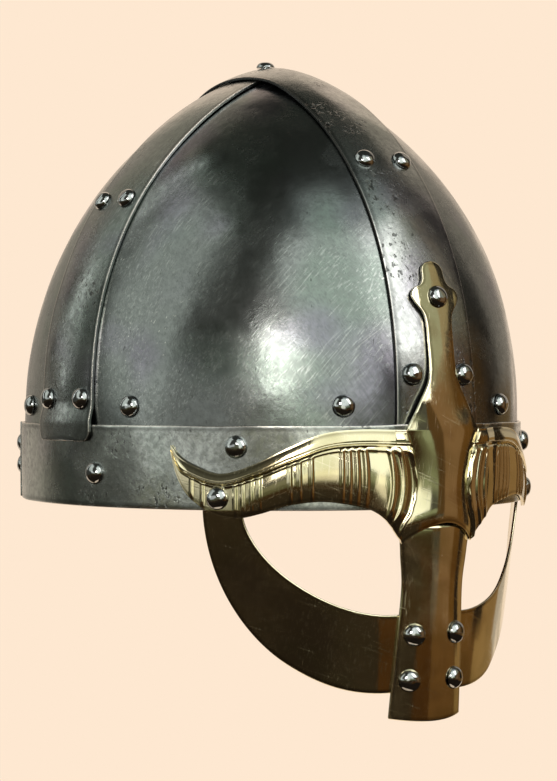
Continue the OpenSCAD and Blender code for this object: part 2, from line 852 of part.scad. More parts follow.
module nasal_bar() {
    face = function (off) [
        for (z = nasal_rows) [
            for (k = [0 : nasal_cols])
                let (
                    s = 2 * k / nasal_cols - 1,
                    zs = z + (z < 10 - nasal_drop ? 1.4 * s * s * (1 - (z + nasal_drop) / 10) : 0),
                    u = s * nasal_half(z)
                )
                mask_point(u, zs, off, nasal_forward(u, zs))
        ]
    ];
    color(brass)
        difference() {
            sheet(face(layer), face(lap_gap), turn = false);
            holes(concat(nasal_places, root_places));
        }
}

// Eye rings: behind the nasal bar a ring follows the bar's section, and past it each edge
// is a quarter of a rounded curve, drawn on the flat sheet
ring_nose_u = 19;
ring_gap = 3;
ring_top = panel_low - 0.4;
ring_turns = 14;
ring_cols = 4;
// The outer edge and the inner edge are rounded by these powers, 2 being an ellipse
outer_power = 2.06;
inner_power = 1.76;
nose_parts = [ring_gap / 2 / nasal_w, 0.25, 0.5, 0.75, 1];
function ring_edge(t, reach, drop, power) = [
    ring_nose_u + (reach - ring_nose_u) * pow(sin(t), 2 / power),
    -drop * pow(cos(t), 2 / power)
];

module eye_ring(side) {
    inner_reach = ring_reach - ring_side_w;
    inner_drop = ring_drop - ring_nose_w;
    nose = [
        for (part = nose_parts) [
            for (c = [0 : ring_cols])
                let (z = -ring_drop + ring_nose_w * c / ring_cols)
                [part * nasal_half(z), z]
        ]
    ];
    edges = concat(
        [
            for (k = [0 : ring_turns])
                let (t = 90 * k / ring_turns)
                [
                    ring_edge(t, ring_reach, ring_drop, outer_power),
                    ring_edge(t, inner_reach, inner_drop, inner_power)
                ]
        ],
        [for (z = [ring_top / 2, ring_top]) [[ring_reach, z], [inner_reach, z]]]
    );
    rows = concat(
        nose,
        [
            for (e = edges)
                [for (c = [0 : ring_cols]) e[0] + (e[1] - e[0]) * c / ring_cols]
        ]
    );
    face = function (off) [
        for (row = rows)
            [for (p = row) mask_point(side * p[0], p[1], off, nasal_forward(p[0], p[1]))]
    ];
    color(brass)
        difference() {
            sheet(face(0), face(-sheet_t), turn = side < 0);
            holes(concat(nasal_places, crescent_places));
        }
}

// Places on the mask: [point, outward direction] of a face that forward() bends
function mask_place(u, z, off, forward) =
    let (p = function (du, dz) mask_point(u + du, z + dz, off, forward(u + du, z + dz)))
    [p(0, 0), unit(cross(p(0.1, 0) - p(-0.1, 0), p(0, 0.1) - p(0, -0.1)))];
flat = function (u, z) 0;

crescent_u = ring_reach - crescent_inset;
crescent_places = [
    for (side = [-1, 1])
        mask_place(side * crescent_u, crescent_z, layer + lap_gap + brass_t, flat)
];
finial_z = finial_top - finial_rivet_drop;
finial_place = mask_place(
    0,
    finial_z,
    plate_in(0, finial_z) + brass_t,
    function (u, z) bulge(u, z)
);
nasal_places = [
    for (side = [-1, 1], p = [[nasal_high_u, -nasal_high_z], [nasal_low_u, -nasal_low_z]])
        mask_place(side * p[0], p[1], layer, function (u, z) nasal_forward(u, z))
];
root_places = [for (side = [-1, 1]) mask_place(side * root_u, root_z, 2 * layer, flat)];

// The countersunk head of a root rivet, grown by gap
module sink(gap) {
    translate([0, 0, -sheet_t])
        cylinder(
            r1 = shank_d / 2 + gap,
            r2 = shank_d / 2 + sheet_t + gap,
            h = sheet_t
        );
}

// Rivets by group

module rivets(places, off, head = head_d, high = head_h, extra = 0) {
    color(bright)
        for (p = places)
            at(p)
                rivet(grip(p, off) + extra, head, high);
}

module crown_rivet() {
    color(bright)
        at(crown_place)
            rivet(crown_place[0].z - crown_under, head = crown_head_d, high = crown_head_h);
}
module crest_upper_rivets() {
    rivets(crest_high, -sheet_t, head = high_head_d);
}
module cross_upper_rivets() {
    rivets(cross_high, -sheet_t, head = high_head_d);
}
module crest_lower_rivets() {
    rivets(crest_low, strap_in, extra = washer_t + washer_gap);
}
module cross_lower_rivets() {
    rivets(cross_low, strap_in, extra = washer_t + washer_gap);
}
module panel_rivets() {
    rivets(panel_places, liner_in, extra = washer_t + washer_gap);
}
module brow_band_rivets() {
    rivets(brow_places, -sheet_t);
}
module joint_rivets() {
    rivets(joint_places, -sheet_t);
}
module crescent_rivets() {
    color(bright)
        for (p = crescent_places)
            at(p)
                rivet(layer + lap_gap + brass_t + sheet_t);
}
module finial_rivet() {
    rivets([finial_place], -sheet_t, extra = seat_gap);
}
module nasal_rivets() {
    color(bright)
        for (p = nasal_places)
            at(p)
                rivet(layer + sheet_t);
}
module root_rivets() {
    grip = 2 * layer + sheet_t;
    color(bright)
        for (p = root_places)
            at(p) {
                sink(0);
                shank(grip, 0);
            }
}

// Liner

module washers(places, off) {
    for (p = places)
        at(p)
            translate([0, 0, -grip(p, off) - washer_gap - washer_t])
                difference() {
                    cylinder(d = washer_d, h = washer_t);
                    translate([0, 0, -1])
                        cylinder(r = hole_r, h = washer_t + 2);
                }
}

module liner_washers() {
    color(bright) {
        washers(panel_places, liner_in);
        washers(crest_low, strap_in);
        washers(cross_low, strap_in);
    }
}

liner_low = brow_h - liner_tuck;
strap_free_z = liner_low + liner_w;
strap_steps = 30;
strap_cols = 4;

module liner_band() {
    cols = 48;
    turn = 180 - liner_slit / half_l * 90 / PI;
    top = liner_low + liner_w;
    rows = [liner_low, brow_h, (brow_h + top) / 2, top];
    face = function (off) [
        for (z = rows)
            [for (k = [0 : cols]) shell(turn * (2 * k / cols - 1), z, off)]
    ];
    color(hide)
        difference() {
            sheet(face(liner_out), face(liner_in), turn = true);
            holes(concat(panel_places, crest_low, cross_low));
        }
}

// A head strap that hangs clear of the crown. under is how far it passes below the other.
module liner_strap(across, under) {
    strip(
        across,
        [],
        strap_steps,
        strap_cols,
        leather_t,
        function (z) strap_w / 2,
        function (p) strap_out - (strap_hang + under) * ramp(p.z, strap_free_z, bowl_h - crown_full)
    );
}

module liner_long_strap() {
    color(hide)
        difference() {
            liner_strap(false, 0);
            holes(crest_low);
        }
}

module liner_cross_strap() {
    color(hide)
        difference() {
            liner_strap(true, leather_t + 2 * leather_gap);
            holes(cross_low);
        }
}

panel(-1, false);  // panel_front_right
panel(1, false);  // panel_front_left
panel(-1, true);  // panel_rear_right
panel(1, true);  // panel_rear_left
crest_band();
cross_band();
brow_band();
brow_plate();
nasal_bar();
eye_ring(-1);  // eye_ring_right
eye_ring(1);  // eye_ring_left
crown_rivet();
crest_upper_rivets();
crest_lower_rivets();
cross_upper_rivets();
cross_lower_rivets();
panel_rivets();
brow_band_rivets();
joint_rivets();
crescent_rivets();
finial_rivet();
nasal_rivets();
root_rivets();
liner_washers();
liner_band();
liner_long_strap();
liner_cross_strap();
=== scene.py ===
"""Visual model of a spectacle helmet: a riveted steel bowl, a brass mask and a leather liner.

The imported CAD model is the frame. Every sheet is drawn again here from the same sizes as its
solid, closely enough that polished metal reflects smoothly, with hammer work, chasing and wear.
Sizes are in millimetres and become metres when a mesh is made. The rim lies in z = 0, +Z is up
and the wearer looks along -Y.
"""

from __future__ import annotations

import json
import logging
import math
from dataclasses import dataclass, field
from enum import Enum
from typing import Any, Callable, Mapping, Sequence

import bpy
import numpy as np
from mathutils import Matrix, Vector

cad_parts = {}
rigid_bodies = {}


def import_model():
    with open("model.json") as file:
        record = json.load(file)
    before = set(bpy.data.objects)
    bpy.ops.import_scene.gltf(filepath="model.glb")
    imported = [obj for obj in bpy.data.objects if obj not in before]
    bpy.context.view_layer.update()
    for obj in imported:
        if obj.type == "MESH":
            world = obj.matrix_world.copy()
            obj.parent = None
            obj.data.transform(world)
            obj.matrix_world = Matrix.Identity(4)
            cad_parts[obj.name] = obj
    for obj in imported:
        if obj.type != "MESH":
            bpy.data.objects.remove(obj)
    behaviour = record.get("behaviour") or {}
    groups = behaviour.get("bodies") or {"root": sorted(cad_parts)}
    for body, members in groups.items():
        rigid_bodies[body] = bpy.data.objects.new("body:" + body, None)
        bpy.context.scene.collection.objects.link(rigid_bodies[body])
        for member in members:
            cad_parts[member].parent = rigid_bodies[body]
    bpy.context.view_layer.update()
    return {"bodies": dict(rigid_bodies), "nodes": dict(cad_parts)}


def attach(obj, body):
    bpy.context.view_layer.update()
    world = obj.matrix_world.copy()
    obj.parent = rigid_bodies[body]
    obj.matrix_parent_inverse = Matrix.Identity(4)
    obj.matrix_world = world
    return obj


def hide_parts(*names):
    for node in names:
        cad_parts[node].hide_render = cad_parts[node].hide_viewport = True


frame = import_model()

MM = 0.001
LOG = logging.getLogger("helmet")
# How finely cut edges are rounded, how sharp a corner counts as one, and how strongly large
# faces steer the shading beside it.
EDGE_STEPS = 2
CORNER_DEGREES = 50
RIM_DEGREES = 55
FACE_WEIGHT = 80


class Side(Enum):
    """The wearer's right or left, as the sign of X."""

    RIGHT = -1
    LEFT = 1


class End(Enum):
    """The front or rear half of the bowl, as the sign of -Y."""

    FRONT = 1
    REAR = -1


def ramp(x: Any, low: float, high: float) -> Any:
    """A smooth step.

    Args:
        x: The value or array of values to test.
        low: Where the step leaves 0.
        high: Where it reaches 1.

    Returns:
        Values from 0 to 1, shaped as x.
    """
    t = np.clip((x - low) / (high - low), 0.0, 1.0)
    return t * t * (3.0 - 2.0 * t)


def unit(v: np.ndarray) -> np.ndarray:
    """The vectors of an array, each scaled to length 1."""
    return v / np.linalg.norm(v, axis=-1, keepdims=True)


def bump(d: Any, width: float = 1.0) -> Any:
    """The height of a rounded line, 1 on its middle and fading over its width."""
    return np.exp(-((d / width) ** 2))


def border_along(beyond: Callable[[Any], Any], far: Any, halvings: int) -> Any:
    """Where a border lies along lines, found by halving.

    Args:
        beyond: Tells of distances along the lines whether the border lies farther on.
        far: Distances that are surely past the border.
        halvings: How many times the distances are halved.

    Returns:
        The border's distances.
    """
    low, high = np.zeros_like(far), far
    for _ in range(halvings):
        mid = (low + high) / 2
        farther = beyond(mid)
        low, high = np.where(farther, mid, low), np.where(farther, high, mid)
    return (low + high) / 2


class Curve:
    """A smooth curve through a few points, read at any x."""

    def __init__(self, points: Sequence[Sequence[float]]) -> None:
        """Stores the points.

        Args:
            points: Pairs of x and y, with x rising.
        """
        self.x = np.array([p[0] for p in points], float)
        self.y = np.array([p[1] for p in points], float)
        last = len(self.x) - 1
        ahead = np.minimum(np.arange(last + 1) + 1, last)
        behind = np.maximum(np.arange(last + 1) - 1, 0)
        self.slope = (self.y[ahead] - self.y[behind]) / (self.x[ahead] - self.x[behind])

    def __call__(self, x: Any) -> Any:
        """Reads the curve.

        Args:
            x: Where to read it.

        Returns:
            The curve's y there, held level past both ends.
        """
        i = np.clip(np.searchsorted(self.x, x, side="right") - 1, 0, len(self.x) - 2)
        h = self.x[i + 1] - self.x[i]
        t = np.clip((x - self.x[i]) / h, 0.0, 1.0)
        a, b = self.y[i], self.y[i + 1]
        da, db = h * self.slope[i], h * self.slope[i + 1]
        return (
            a
            + da * t
            + (3 * (b - a) - 2 * da - db) * t**2
            + (2 * (a - b) + da + db) * t**3
        )


@dataclass(frozen=True)
class Bowl:
    """The bowl's surface: a rounded form with its own profile at the front, sides and rear."""

    length: float = 230.0
    width: float = 194.0
    height: float = 177.4
    brow_h: float = 32.0
    front: tuple[float, float] = (2.26, 1.7)
    side: tuple[float, float] = (2.36, 1.35)
    rear: tuple[float, float] = (1.6, 1.78)

    def profile(self, z: Any, off: Any, shape: tuple[float, float]) -> Any:
        """How wide a profile is.

        Args:
            z: Height above the rim.
            off: Distance outside the panels' outer face.
            shape: How upright and how round the profile is.

        Returns:
            1 at the brow and 0 at the apex.
        """
        s = np.clip((z - self.brow_h) / (self.height + off - self.brow_h), 0.0, 1.0)
        return np.power(np.clip(1.0 - s ** shape[0], 0.0, 1.0), 1.0 / shape[1])

    def side_part(self, z: Any, off: Any) -> Any:
        """How wide the bowl is at a height, as a part of its width."""
        return self.profile(z, off, self.side)

    def end_part(self, z: Any, off: Any, front: Any) -> Any:
        """How long one half of the bowl is at a height, as a part of its length."""
        return np.where(
            front, self.profile(z, off, self.front), self.profile(z, off, self.rear)
        )

    def point(self, angle: Any, z: Any, off: Any) -> np.ndarray:
        """A point of the bowl.

        Args:
            angle: Degrees from the front, 90 on the wearer's left.
            z: Height above the rim.
            off: Distance outside the panels' outer face.

        Returns:
            An array of points.
        """
        a, z, off = np.broadcast_arrays(np.radians(angle), z, off)
        x = (self.width / 2 + off) * self.side_part(z, off) * np.sin(a)
        y = (
            -(self.length / 2 + off)
            * self.end_part(z, off, np.cos(a) > 0)
            * np.cos(a)
        )
        return np.stack([x, y, np.asarray(z, float)], axis=-1)

    def outward(self, angle: Any, z: Any, off: Any) -> np.ndarray:
        """The outward direction of the bowl at an angle and a height."""
        d = 0.2
        round_it = self.point(angle + d, z, off) - self.point(angle - d, z, off)
        up_it = self.point(angle, z + d, off) - self.point(angle, z - d, off)
        return unit(np.cross(round_it, up_it))

    def inside(self, p: np.ndarray, off: Any) -> np.ndarray:
        """Whether points lie inside the face at off."""
        w = (self.width / 2 + off) * self.side_part(p[..., 2], off)
        h = (self.length / 2 + off) * self.end_part(p[..., 2], off, p[..., 1] < 0)
        safe_w, safe_h = np.maximum(w, 1e-9), np.maximum(h, 1e-9)
        within = (p[..., 0] / safe_w) ** 2 + (p[..., 1] / safe_h) ** 2 < 1
        return within & (w > 0) & (h > 0)

    def hit(self, start: np.ndarray, way: np.ndarray, off: Any) -> np.ndarray:
        """Where lines from inside the bowl meet the face at off.

        Args:
            start: Points inside the bowl.
            way: Directions.
            off: Distance of the face outside the panels' outer face.

        Returns:
            The points met.
        """
        far = np.full(start.shape[:-1], 400.0)
        met = border_along(lambda d: self.inside(start + way * d[..., None], off), far, 34)
        return start + way * met[..., None]

    def depth(self, p: np.ndarray, n: np.ndarray, off: float) -> float:
        """How far the face at off lies behind a point, against the direction n."""
        far = np.array(40.0)
        return float(border_along(lambda d: ~self.inside(p - n * d, np.float64(off)), far, 26))


@dataclass(frozen=True)
class Layers:
    """Thicknesses of the sheets and the gaps between them."""

    steel: float = 1.2
    lap: float = 0.2
    brass: float = 1.0
    leather: float = 2.0
    leather_gap: float = 0.5

    @property
    def one(self) -> float:
        """One steel sheet with its gap."""
        return self.steel + self.lap

    @property
    def liner_in(self) -> float:
        """The inner face of the leather headband."""
        return -self.steel - self.leather_gap - self.leather

    @property
    def strap_in(self) -> float:
        """The inner face of the head straps where they meet the headband."""
        return self.liner_in - self.leather_gap - self.leather


BOWL = Bowl()
LAYERS = Layers()


class Ripple:
    """A smooth uneven field, as a hammer and stakes leave it on sheet metal."""

    def __init__(self, seed: int, size: float, height: float, waves: int = 18) -> None:
        """Draws the waves that make up the field.

        Args:
            seed: Fixes the pattern.
            size: Length of one wave.
            height: Height of the field, root mean square.
            waves: How many waves are added up.
        """
        rng = np.random.default_rng(seed)
        way = unit(rng.normal(size=(waves, 3)))
        self.k = way * (2 * math.pi / (size * rng.uniform(0.7, 1.5, (waves, 1))))
        self.phase = rng.uniform(0, 2 * math.pi, waves)
        self.scale = height * math.sqrt(2.0 / waves)

    def __call__(self, p: np.ndarray) -> np.ndarray:
        """The field's height at points of an array."""
        return self.scale * np.sin(p @ self.k.T + self.phase).sum(axis=-1)


FORGED = Ripple(seed=11, size=46.0, height=0.12)
PLANISHED = Ripple(seed=12, size=15.0, height=0.022)
HAND_CHASED = Ripple(seed=13, size=7.0, height=0.12)


def add_mesh(
    name: str,
    points: np.ndarray,
    faces: Sequence[Sequence[int]],
    edge: np.ndarray | None = None,
    turn: bool = False,
) -> bpy.types.Object:
    """Makes a mesh object from points in millimetres.

    Args:
        name: The object's name.
        points: Points, one a row.
        faces: Lists of point numbers.
        edge: Distance of each point from the sheet's nearest edge, for wear. The outer face's
            points come first and the inner face's, equal in number, after them.
        turn: Whether the faces are turned over, where their order faces inward.

    Returns:
        The new object, smoothly shaded, in the scene.
    """
    loops = [tuple(reversed(f)) for f in faces] if turn else [tuple(f) for f in faces]
    mesh = bpy.data.meshes.new(name)
    mesh.from_pydata((points * MM).tolist(), [], loops)
    mesh.polygons.foreach_set("use_smooth", np.ones(len(mesh.polygons), bool))
    if edge is not None:
        under = np.repeat([0.0, 1.0], len(edge) // 2)
        for key, values in (("edge_mm", edge), ("under", under)):
            layer = mesh.attributes.new(key, "FLOAT", "POINT")
            layer.data.foreach_set("value", values.astype(np.float32).ravel())
    mesh.update()
    obj = bpy.data.objects.new(name, mesh)
    bpy.context.scene.collection.objects.link(obj)
    return obj


def skin(grid: np.ndarray) -> list[tuple[int, ...]]:
    """The faces that close a sheet all round.

    Args:
        grid: The numbers of the outer face's points, rows by columns, with -1 for none. The
            inner face's points, equal in number, follow them.

    Returns:
        The outer faces, the inner faces and the cut edge's faces.
    """
    size = int(grid.max()) + 1
    corners = (grid[:-1, :-1], grid[:-1, 1:], grid[1:, 1:], grid[1:, :-1])
    cells = np.stack(corners, axis=-1).reshape(-1, 4)
    outer = cells[cells.min(axis=1) >= 0]
    inner = size + outer[:, ::-1]
    p, q = outer.ravel(), np.roll(outer, -1, axis=1).ravel()
    free = ~np.isin(p * size + q, q * size + p)
    p, q = p[free], q[free]
    cut = np.stack([q, p, size + p, size + q], axis=-1)
    return [tuple(f) for f in np.concatenate([outer, inner, cut]).tolist()]


def volume_of(points: np.ndarray, faces: Sequence[Sequence[int]]) -> float:
    """The signed volume that faces close, positive where they face outward."""
    quads = np.array([f if len(f) == 4 else (*f, f[-1]) for f in faces])
    a, b, c, d = (points[quads[:, k]] for k in range(4))
    first = np.einsum("ij,ij->i", a, np.cross(b, c)).sum()
    second = np.einsum("ij,ij->i", a, np.cross(c, d)).sum()
    return float(first + second) / 6


@dataclass
class Sheet:
    """A bent sheet between an outer and an inner grid of points, rows by columns."""

    outer: np.ndarray
    inner: np.ndarray

    def edge_distance(self) -> np.ndarray:
        """The distance of each outer point from the sheet's nearest edge."""
        rows = np.linalg.norm(np.diff(self.outer, axis=0), axis=-1)
        cols = np.linalg.norm(np.diff(self.outer, axis=1), axis=-1)
        up = np.vstack([np.zeros((1, self.outer.shape[1])), np.cumsum(rows, axis=0)])
        along = np.hstack([np.zeros((self.outer.shape[0], 1)), np.cumsum(cols, axis=1)])
        return np.minimum.reduce([up, up[-1:] - up, along, along[:, -1:] - along])

    def closed(self) -> tuple[np.ndarray, list[tuple[int, ...]], np.ndarray]:
        """The sheet as one closed skin.

        Returns:
            Its points, its faces and each point's distance from the edge.
        """
        m, n = self.outer.shape[:2]
        points = np.concatenate([self.outer.reshape(-1, 3), self.inner.reshape(-1, 3)])
        edge = np.tile(self.edge_distance().ravel(), 2)
        return points, skin(np.arange(m * n).reshape(m, n)), edge

    def build(self, name: str, rounding: float) -> bpy.types.Object:
        """Makes the sheet's object, with its cut edges dressed round by a file.

        Args:
            name: The object's name.
            rounding: Radius of the dressed edges.

        Returns:
            The new object.
        """
        return dressed(name, *self.closed(), rounding)


def dressed(
    name: str,
    points: np.ndarray,
    faces: Sequence[Sequence[int]],
    edge: np.ndarray,
    rounding: float,
) -> bpy.types.Object:
    """Makes a sheet's object, rounds its cut edges and keeps its faces flat in shading.

    Args:
        name: The object's name.
        points: Points, one a row.
        faces: Lists of point numbers.
        edge: Distance of each point from the sheet's nearest edge.
        rounding: Radius of the dressed edges.

    Returns:
        The new object.
    """
    obj = add_mesh(name, points, faces, edge, turn=volume_of(points, faces) < 0)
    bevel = obj.modifiers.new("dressed_edges", "BEVEL")
    bevel.width = rounding * MM
    bevel.segments = EDGE_STEPS
    bevel.limit_method = "ANGLE"
    bevel.angle_limit = math.radians(CORNER_DEGREES)
    bevel.use_clamp_overlap = True
    normals = obj.modifiers.new("face_weight", "WEIGHTED_NORMAL")
    normals.keep_sharp = False
    normals.weight = FACE_WEIGHT
    return obj


def worked(points: np.ndarray, amount: float = 1.0) -> np.ndarray:
    """Moves a grid of points in and out as the forging left the whole bowl.

    Args:
        points: A grid of points, rows by columns by 3.
        amount: How much of the unevenness to apply.

    Returns:
        The moved grid.
    """
    out = unit(points * np.array([1.0, 0.8, 0.6]))
    return points + out * (FORGED(points) * amount)[..., None]


def colour(code: str) -> tuple[float, float, float, float]:
    """Turns an sRGB hex colour such as 7a4a2c into linear values.

    Args:
        code: Six hex digits.

    Returns:
        Linear red, green, blue, and 1 for alpha.
    """
    parts = [int(code[k : k + 2], 16) / 255 for k in (0, 2, 4)]
    linear = [c / 12.92 if c <= 0.04045 else ((c + 0.055) / 1.055) ** 2.4 for c in parts]
    return (linear[0], linear[1], linear[2], 1.0)


def add_node(
    tree: bpy.types.NodeTree,
    kind: str,
    inputs: Mapping[str | int, Any] | None = None,
    out: str | int = 0,
    **settings: Any,
) -> Any:
    """Adds one shader node with its settings and links.

    Args:
        tree: The tree to add to.
        kind: The node's type, without Blender's prefix.
        inputs: Sockets by name or number, each a value, a hex colour or another node's output.
        out: The output that is wanted, by name or number.
        **settings: The node's properties.

    Returns:
        The wanted output, or None where the node has none.
    """
    node = tree.nodes.new("ShaderNode" + kind)
    for key, value in settings.items():
        setattr(node, key, value)
    for key, value in (inputs or {}).items():
        if isinstance(value, bpy.types.NodeSocket):
            tree.links.new(value, node.inputs[key])
        else:
            node.inputs[key].default_value = colour(value) if isinstance(value, str) else value
    return node.outputs[out] if node.outputs else None


def product(tree: bpy.types.NodeTree, a: Any, b: Any) -> Any:
    """Multiplies two sockets or values."""
    return add_node(tree, "Math", {0: a, 1: b}, operation="MULTIPLY")


def stepped(
    tree: bpy.types.NodeTree, value: Any, low: float, high: float, a: float = 0.0, b: float = 1.0
) -> Any:
    """Turns a socket's values from low to high into a smooth step from a to b."""
    inputs = {"Value": value, "From Min": low, "From Max": high, "To Min": a, "To Max": b}
    return add_node(tree, "MapRange", inputs, interpolation_type="SMOOTHSTEP")


def blank_tree(owner: bpy.types.Material | bpy.types.World) -> bpy.types.NodeTree:
    """Gives a material or a world an empty tree of nodes."""
    owner.use_nodes = True
    owner.node_tree.nodes.clear()
    return owner.node_tree


class Grain(Enum):
    """What a pattern is made of."""

    PATCHES = "TexNoise"
    CELLS = "TexVoronoi"


@dataclass(frozen=True)
class Pattern:
    """A pattern on a surface that runs from 0 to 1, drawn at its real size."""

    size_mm: float
    low: float
    high: float
    detail: float = 2.0
    stretch: tuple[float, float, float] = (1.0, 1.0, 1.0)
    turn: tuple[float, float, float] = (0.0, 0.0, 0.0)
    shift: float = 0.0
    grain: Grain = Grain.PATCHES

    def draw(self, tree: bpy.types.NodeTree, seed: float) -> bpy.types.NodeSocket:
        """Adds the pattern to a material.

        Args:
            tree: The material's nodes.
            seed: Moves the pattern, in metres, so that two sheets don't match.

        Returns:
            The socket that holds the pattern.
        """
        move = self.shift + seed
        moved = add_node(
            tree,
            "Mapping",
            {
                "Vector": add_node(tree, "TexCoord", out="Object"),
                "Location": (move, move, -move),
                "Rotation": tuple(math.radians(a) for a in self.turn),
                "Scale": self.stretch,
            },
            vector_type="TEXTURE",
        )
        inputs: dict[str | int, Any] = {"Vector": moved, "Scale": 1.0 / (self.size_mm * MM)}
        if self.grain is Grain.PATCHES:
            inputs.update({"Detail": self.detail, "Roughness": 0.55})
        return stepped(tree, add_node(tree, self.grain.value, inputs), self.low, self.high)


@dataclass(frozen=True)
class EdgeMark:
    """A line along a sheet's cut edges, given by distances from the edge in millimetres.

    With the value "under" the places run through the sheet instead, from 0 on its outer face
    to 1 on its inner face.
    """

    start: float
    full: float
    fade: float
    end: float
    value: str = "edge_mm"

    def draw(self, tree: bpy.types.NodeTree, seed: float) -> bpy.types.NodeSocket:
        """Adds the line to a material.

        Args:
            tree: The material's nodes.
            seed: Not needed here, since the edges fix the line.

        Returns:
            The socket that holds the line.
        """
        edge = add_node(tree, "Attribute", out="Fac", attribute_name=self.value)
        rise = stepped(tree, edge, self.start, self.full)
        return product(tree, rise, stepped(tree, edge, self.fade, self.end, 1.0, 0.0))


Marks = tuple[Pattern | EdgeMark, ...]
Amounts = tuple[tuple[float, Marks], ...]


@dataclass(frozen=True)
class Coat:
    """A colour laid over the base where all its marks meet."""

    tint: str
    strength: float
    marks: Marks


@dataclass(frozen=True)
class Finish:
    """A surface: its base colour, what lies on it, how rough and how uneven it is.

    Each dulling adds to the roughness where its marks meet, and each relief is the height in
    millimetres that its marks stand out.
    """

    name: str
    base: str
    roughness: float
    coats: tuple[Coat, ...] = ()
    dulling: Amounts = ()
    relief: Amounts = ()
    metallic: float = 1.0
    sheen: float = 0.0
    seed: float = 0.0

    def build(self) -> bpy.types.Material:
        """Makes the material from the base up.

        Returns:
            The material.
        """
        material = bpy.data.materials.new(self.name)
        tree = blank_tree(material)
        drawn: dict[Pattern | EdgeMark, bpy.types.NodeSocket] = {}

        def where(marks: Marks) -> bpy.types.NodeSocket:
            """The marks' product, each mark drawn once in the material."""
            for mark in marks:
                if mark not in drawn:
                    drawn[mark] = mark.draw(tree, self.seed)
            both = drawn[marks[0]]
            for mark in marks[1:]:
                both = product(tree, both, drawn[mark])
            return both

        tint: Any = self.base
        for coat in self.coats:
            part = product(tree, where(coat.marks), coat.strength)
            tint = add_node(tree, "Mix", {0: part, 6: tint, 7: coat.tint}, 2, data_type="RGBA")
        rough: Any = self.roughness
        for amount, marks in self.dulling:
            rough = add_node(
                tree, "Math", {0: where(marks), 1: amount, 2: rough}, operation="MULTIPLY_ADD"
            )
        inputs: dict[str | int, Any] = {
            "Base Color": tint,
            "Metallic": self.metallic,
            "Roughness": rough,
            "Sheen Weight": self.sheen,
        }
        for height_mm, marks in self.relief:
            level: dict[str | int, Any] = {"Height": where(marks), "Distance": height_mm * MM}
            if "Normal" in inputs:
                level["Normal"] = inputs["Normal"]
            inputs["Normal"] = add_node(tree, "Bump", level)
        add_node(tree, "OutputMaterial", {"Surface": add_node(tree, "BsdfPrincipled", inputs)})
        return material


# Marks on steel. Abrasive strokes are about 0.1 mm wide and handling scratches finer still.
# Both are drawn wider, so that they show at the picture's scale.
CLOUDS = Pattern(38, 0.36, 0.68)
GREEN_PATCHES = Pattern(44, 0.48, 0.70, 1, shift=0.7)
PURPLE_PATCHES = Pattern(36, 0.52, 0.72, 1, shift=1.3)
GRAIN = Pattern(2.4, 0.34, 0.70, 4, shift=0.3)
HAMMER_MARKS = Pattern(9.0, 0.30, 0.75, 2, shift=0.5)
RUBBED = Pattern(20, 0.40, 0.58, 2, shift=2.2)
SLANT_STROKES = Pattern(0.55, 0.52, 0.74, 1, (1, 1, 14), (0, 42, -20), 0.1)
CROSS_STROKES = Pattern(0.65, 0.50, 0.68, 1, (1, 1, 18), (0, -34, -20), 0.9)
LONG_SCRATCHES = Pattern(0.7, 0.77, 0.81, 0, (1, 1, 90), (20, 50, 10), 1.9)
SCRATCHED = Pattern(34, 0.64, 0.70, 0, shift=3.3)
FLECKS = Pattern(1.4, 0.74, 0.80, 1, (1, 1, 2.5), shift=4.7)
PIT_HOLES = Pattern(1.8, 0.58, 0.64, 3, (1, 1, 1.6), shift=4.1)
PIT_PATCHES = Pattern(24, 0.57, 0.63, 0, shift=5.1)
FILED_EDGE = EdgeMark(-2, -1, 0.28, 0.6)
OUTER_FACE = EdgeMark(-2, -1, 0.15, 0.45, "under")
CUT_FACE = EdgeMark(0.15, 0.45, 2, 3, "under")
CUT_EDGE = EdgeMark(-2, -1, 0.05, 0.4)
EDGE_SOOT = EdgeMark(0.5, 1.0, 1.2, 2.8)


@dataclass(frozen=True)
class BlackenedSteel(Finish):
    """Mild steel sheet, forge-blackened and then polished with fine abrasive.

    The scale that stays in the pores keeps it dark, with green and purple heat tints, and the
    polish gives it broad, bright, slightly broken highlights. The sheets' edges were filed
    bright, and soot stays beside them.
    """

    name: str = "mild_steel_blackened_and_polished"
    base: str = "8f9392"
    roughness: float = 0.17
    coats: tuple[Coat, ...] = (
        Coat("6f7473", 0.45, (CLOUDS,)),
        Coat("74877a", 0.45, (GREEN_PATCHES,)),
        Coat("857892", 0.42, (PURPLE_PATCHES,)),
        Coat("6a6e6d", 0.40, (GRAIN,)),
        Coat("c4c8c5", 0.42, (SLANT_STROKES, RUBBED)),
        Coat("43464a", 0.20, (CROSS_STROKES,)),
        Coat("e2e2dc", 0.60, (LONG_SCRATCHES, SCRATCHED)),
        Coat("2c2e2c", 0.60, (FLECKS,)),
        Coat("1d1d1c", 0.45, (EDGE_SOOT,)),
        Coat("141414", 0.40, (CUT_EDGE, CUT_FACE)),
        Coat("dcd6d0", 0.80, (FILED_EDGE, OUTER_FACE)),
    )
    dulling: Amounts = (
        (0.05, (CLOUDS,)),
        (0.04, (GRAIN,)),
        (0.06, (RUBBED,)),
    )
    relief: Amounts = (
        (0.030, (HAMMER_MARKS,)),
        (0.008, (GRAIN,)),
        (0.006, (SLANT_STROKES,)),
        (-0.02, (LONG_SCRATCHES, SCRATCHED)),
    )


@dataclass(frozen=True)
class PittedSteel(BlackenedSteel):
    """The same steel in the bands, worked harder: lighter, with clusters of rust pits."""

    name: str = "mild_steel_blackened_and_pitted"
    base: str = "a0a4a2"
    coats: tuple[Coat, ...] = BlackenedSteel.coats + (
        Coat("2c2d2c", 0.70, (PIT_HOLES, PIT_PATCHES)),
    )
    relief: Amounts = BlackenedSteel.relief + (
        (0.010, (GRAIN, RUBBED)),
        (-0.08, (PIT_HOLES, PIT_PATCHES)),
    )
    seed: float = 3.4


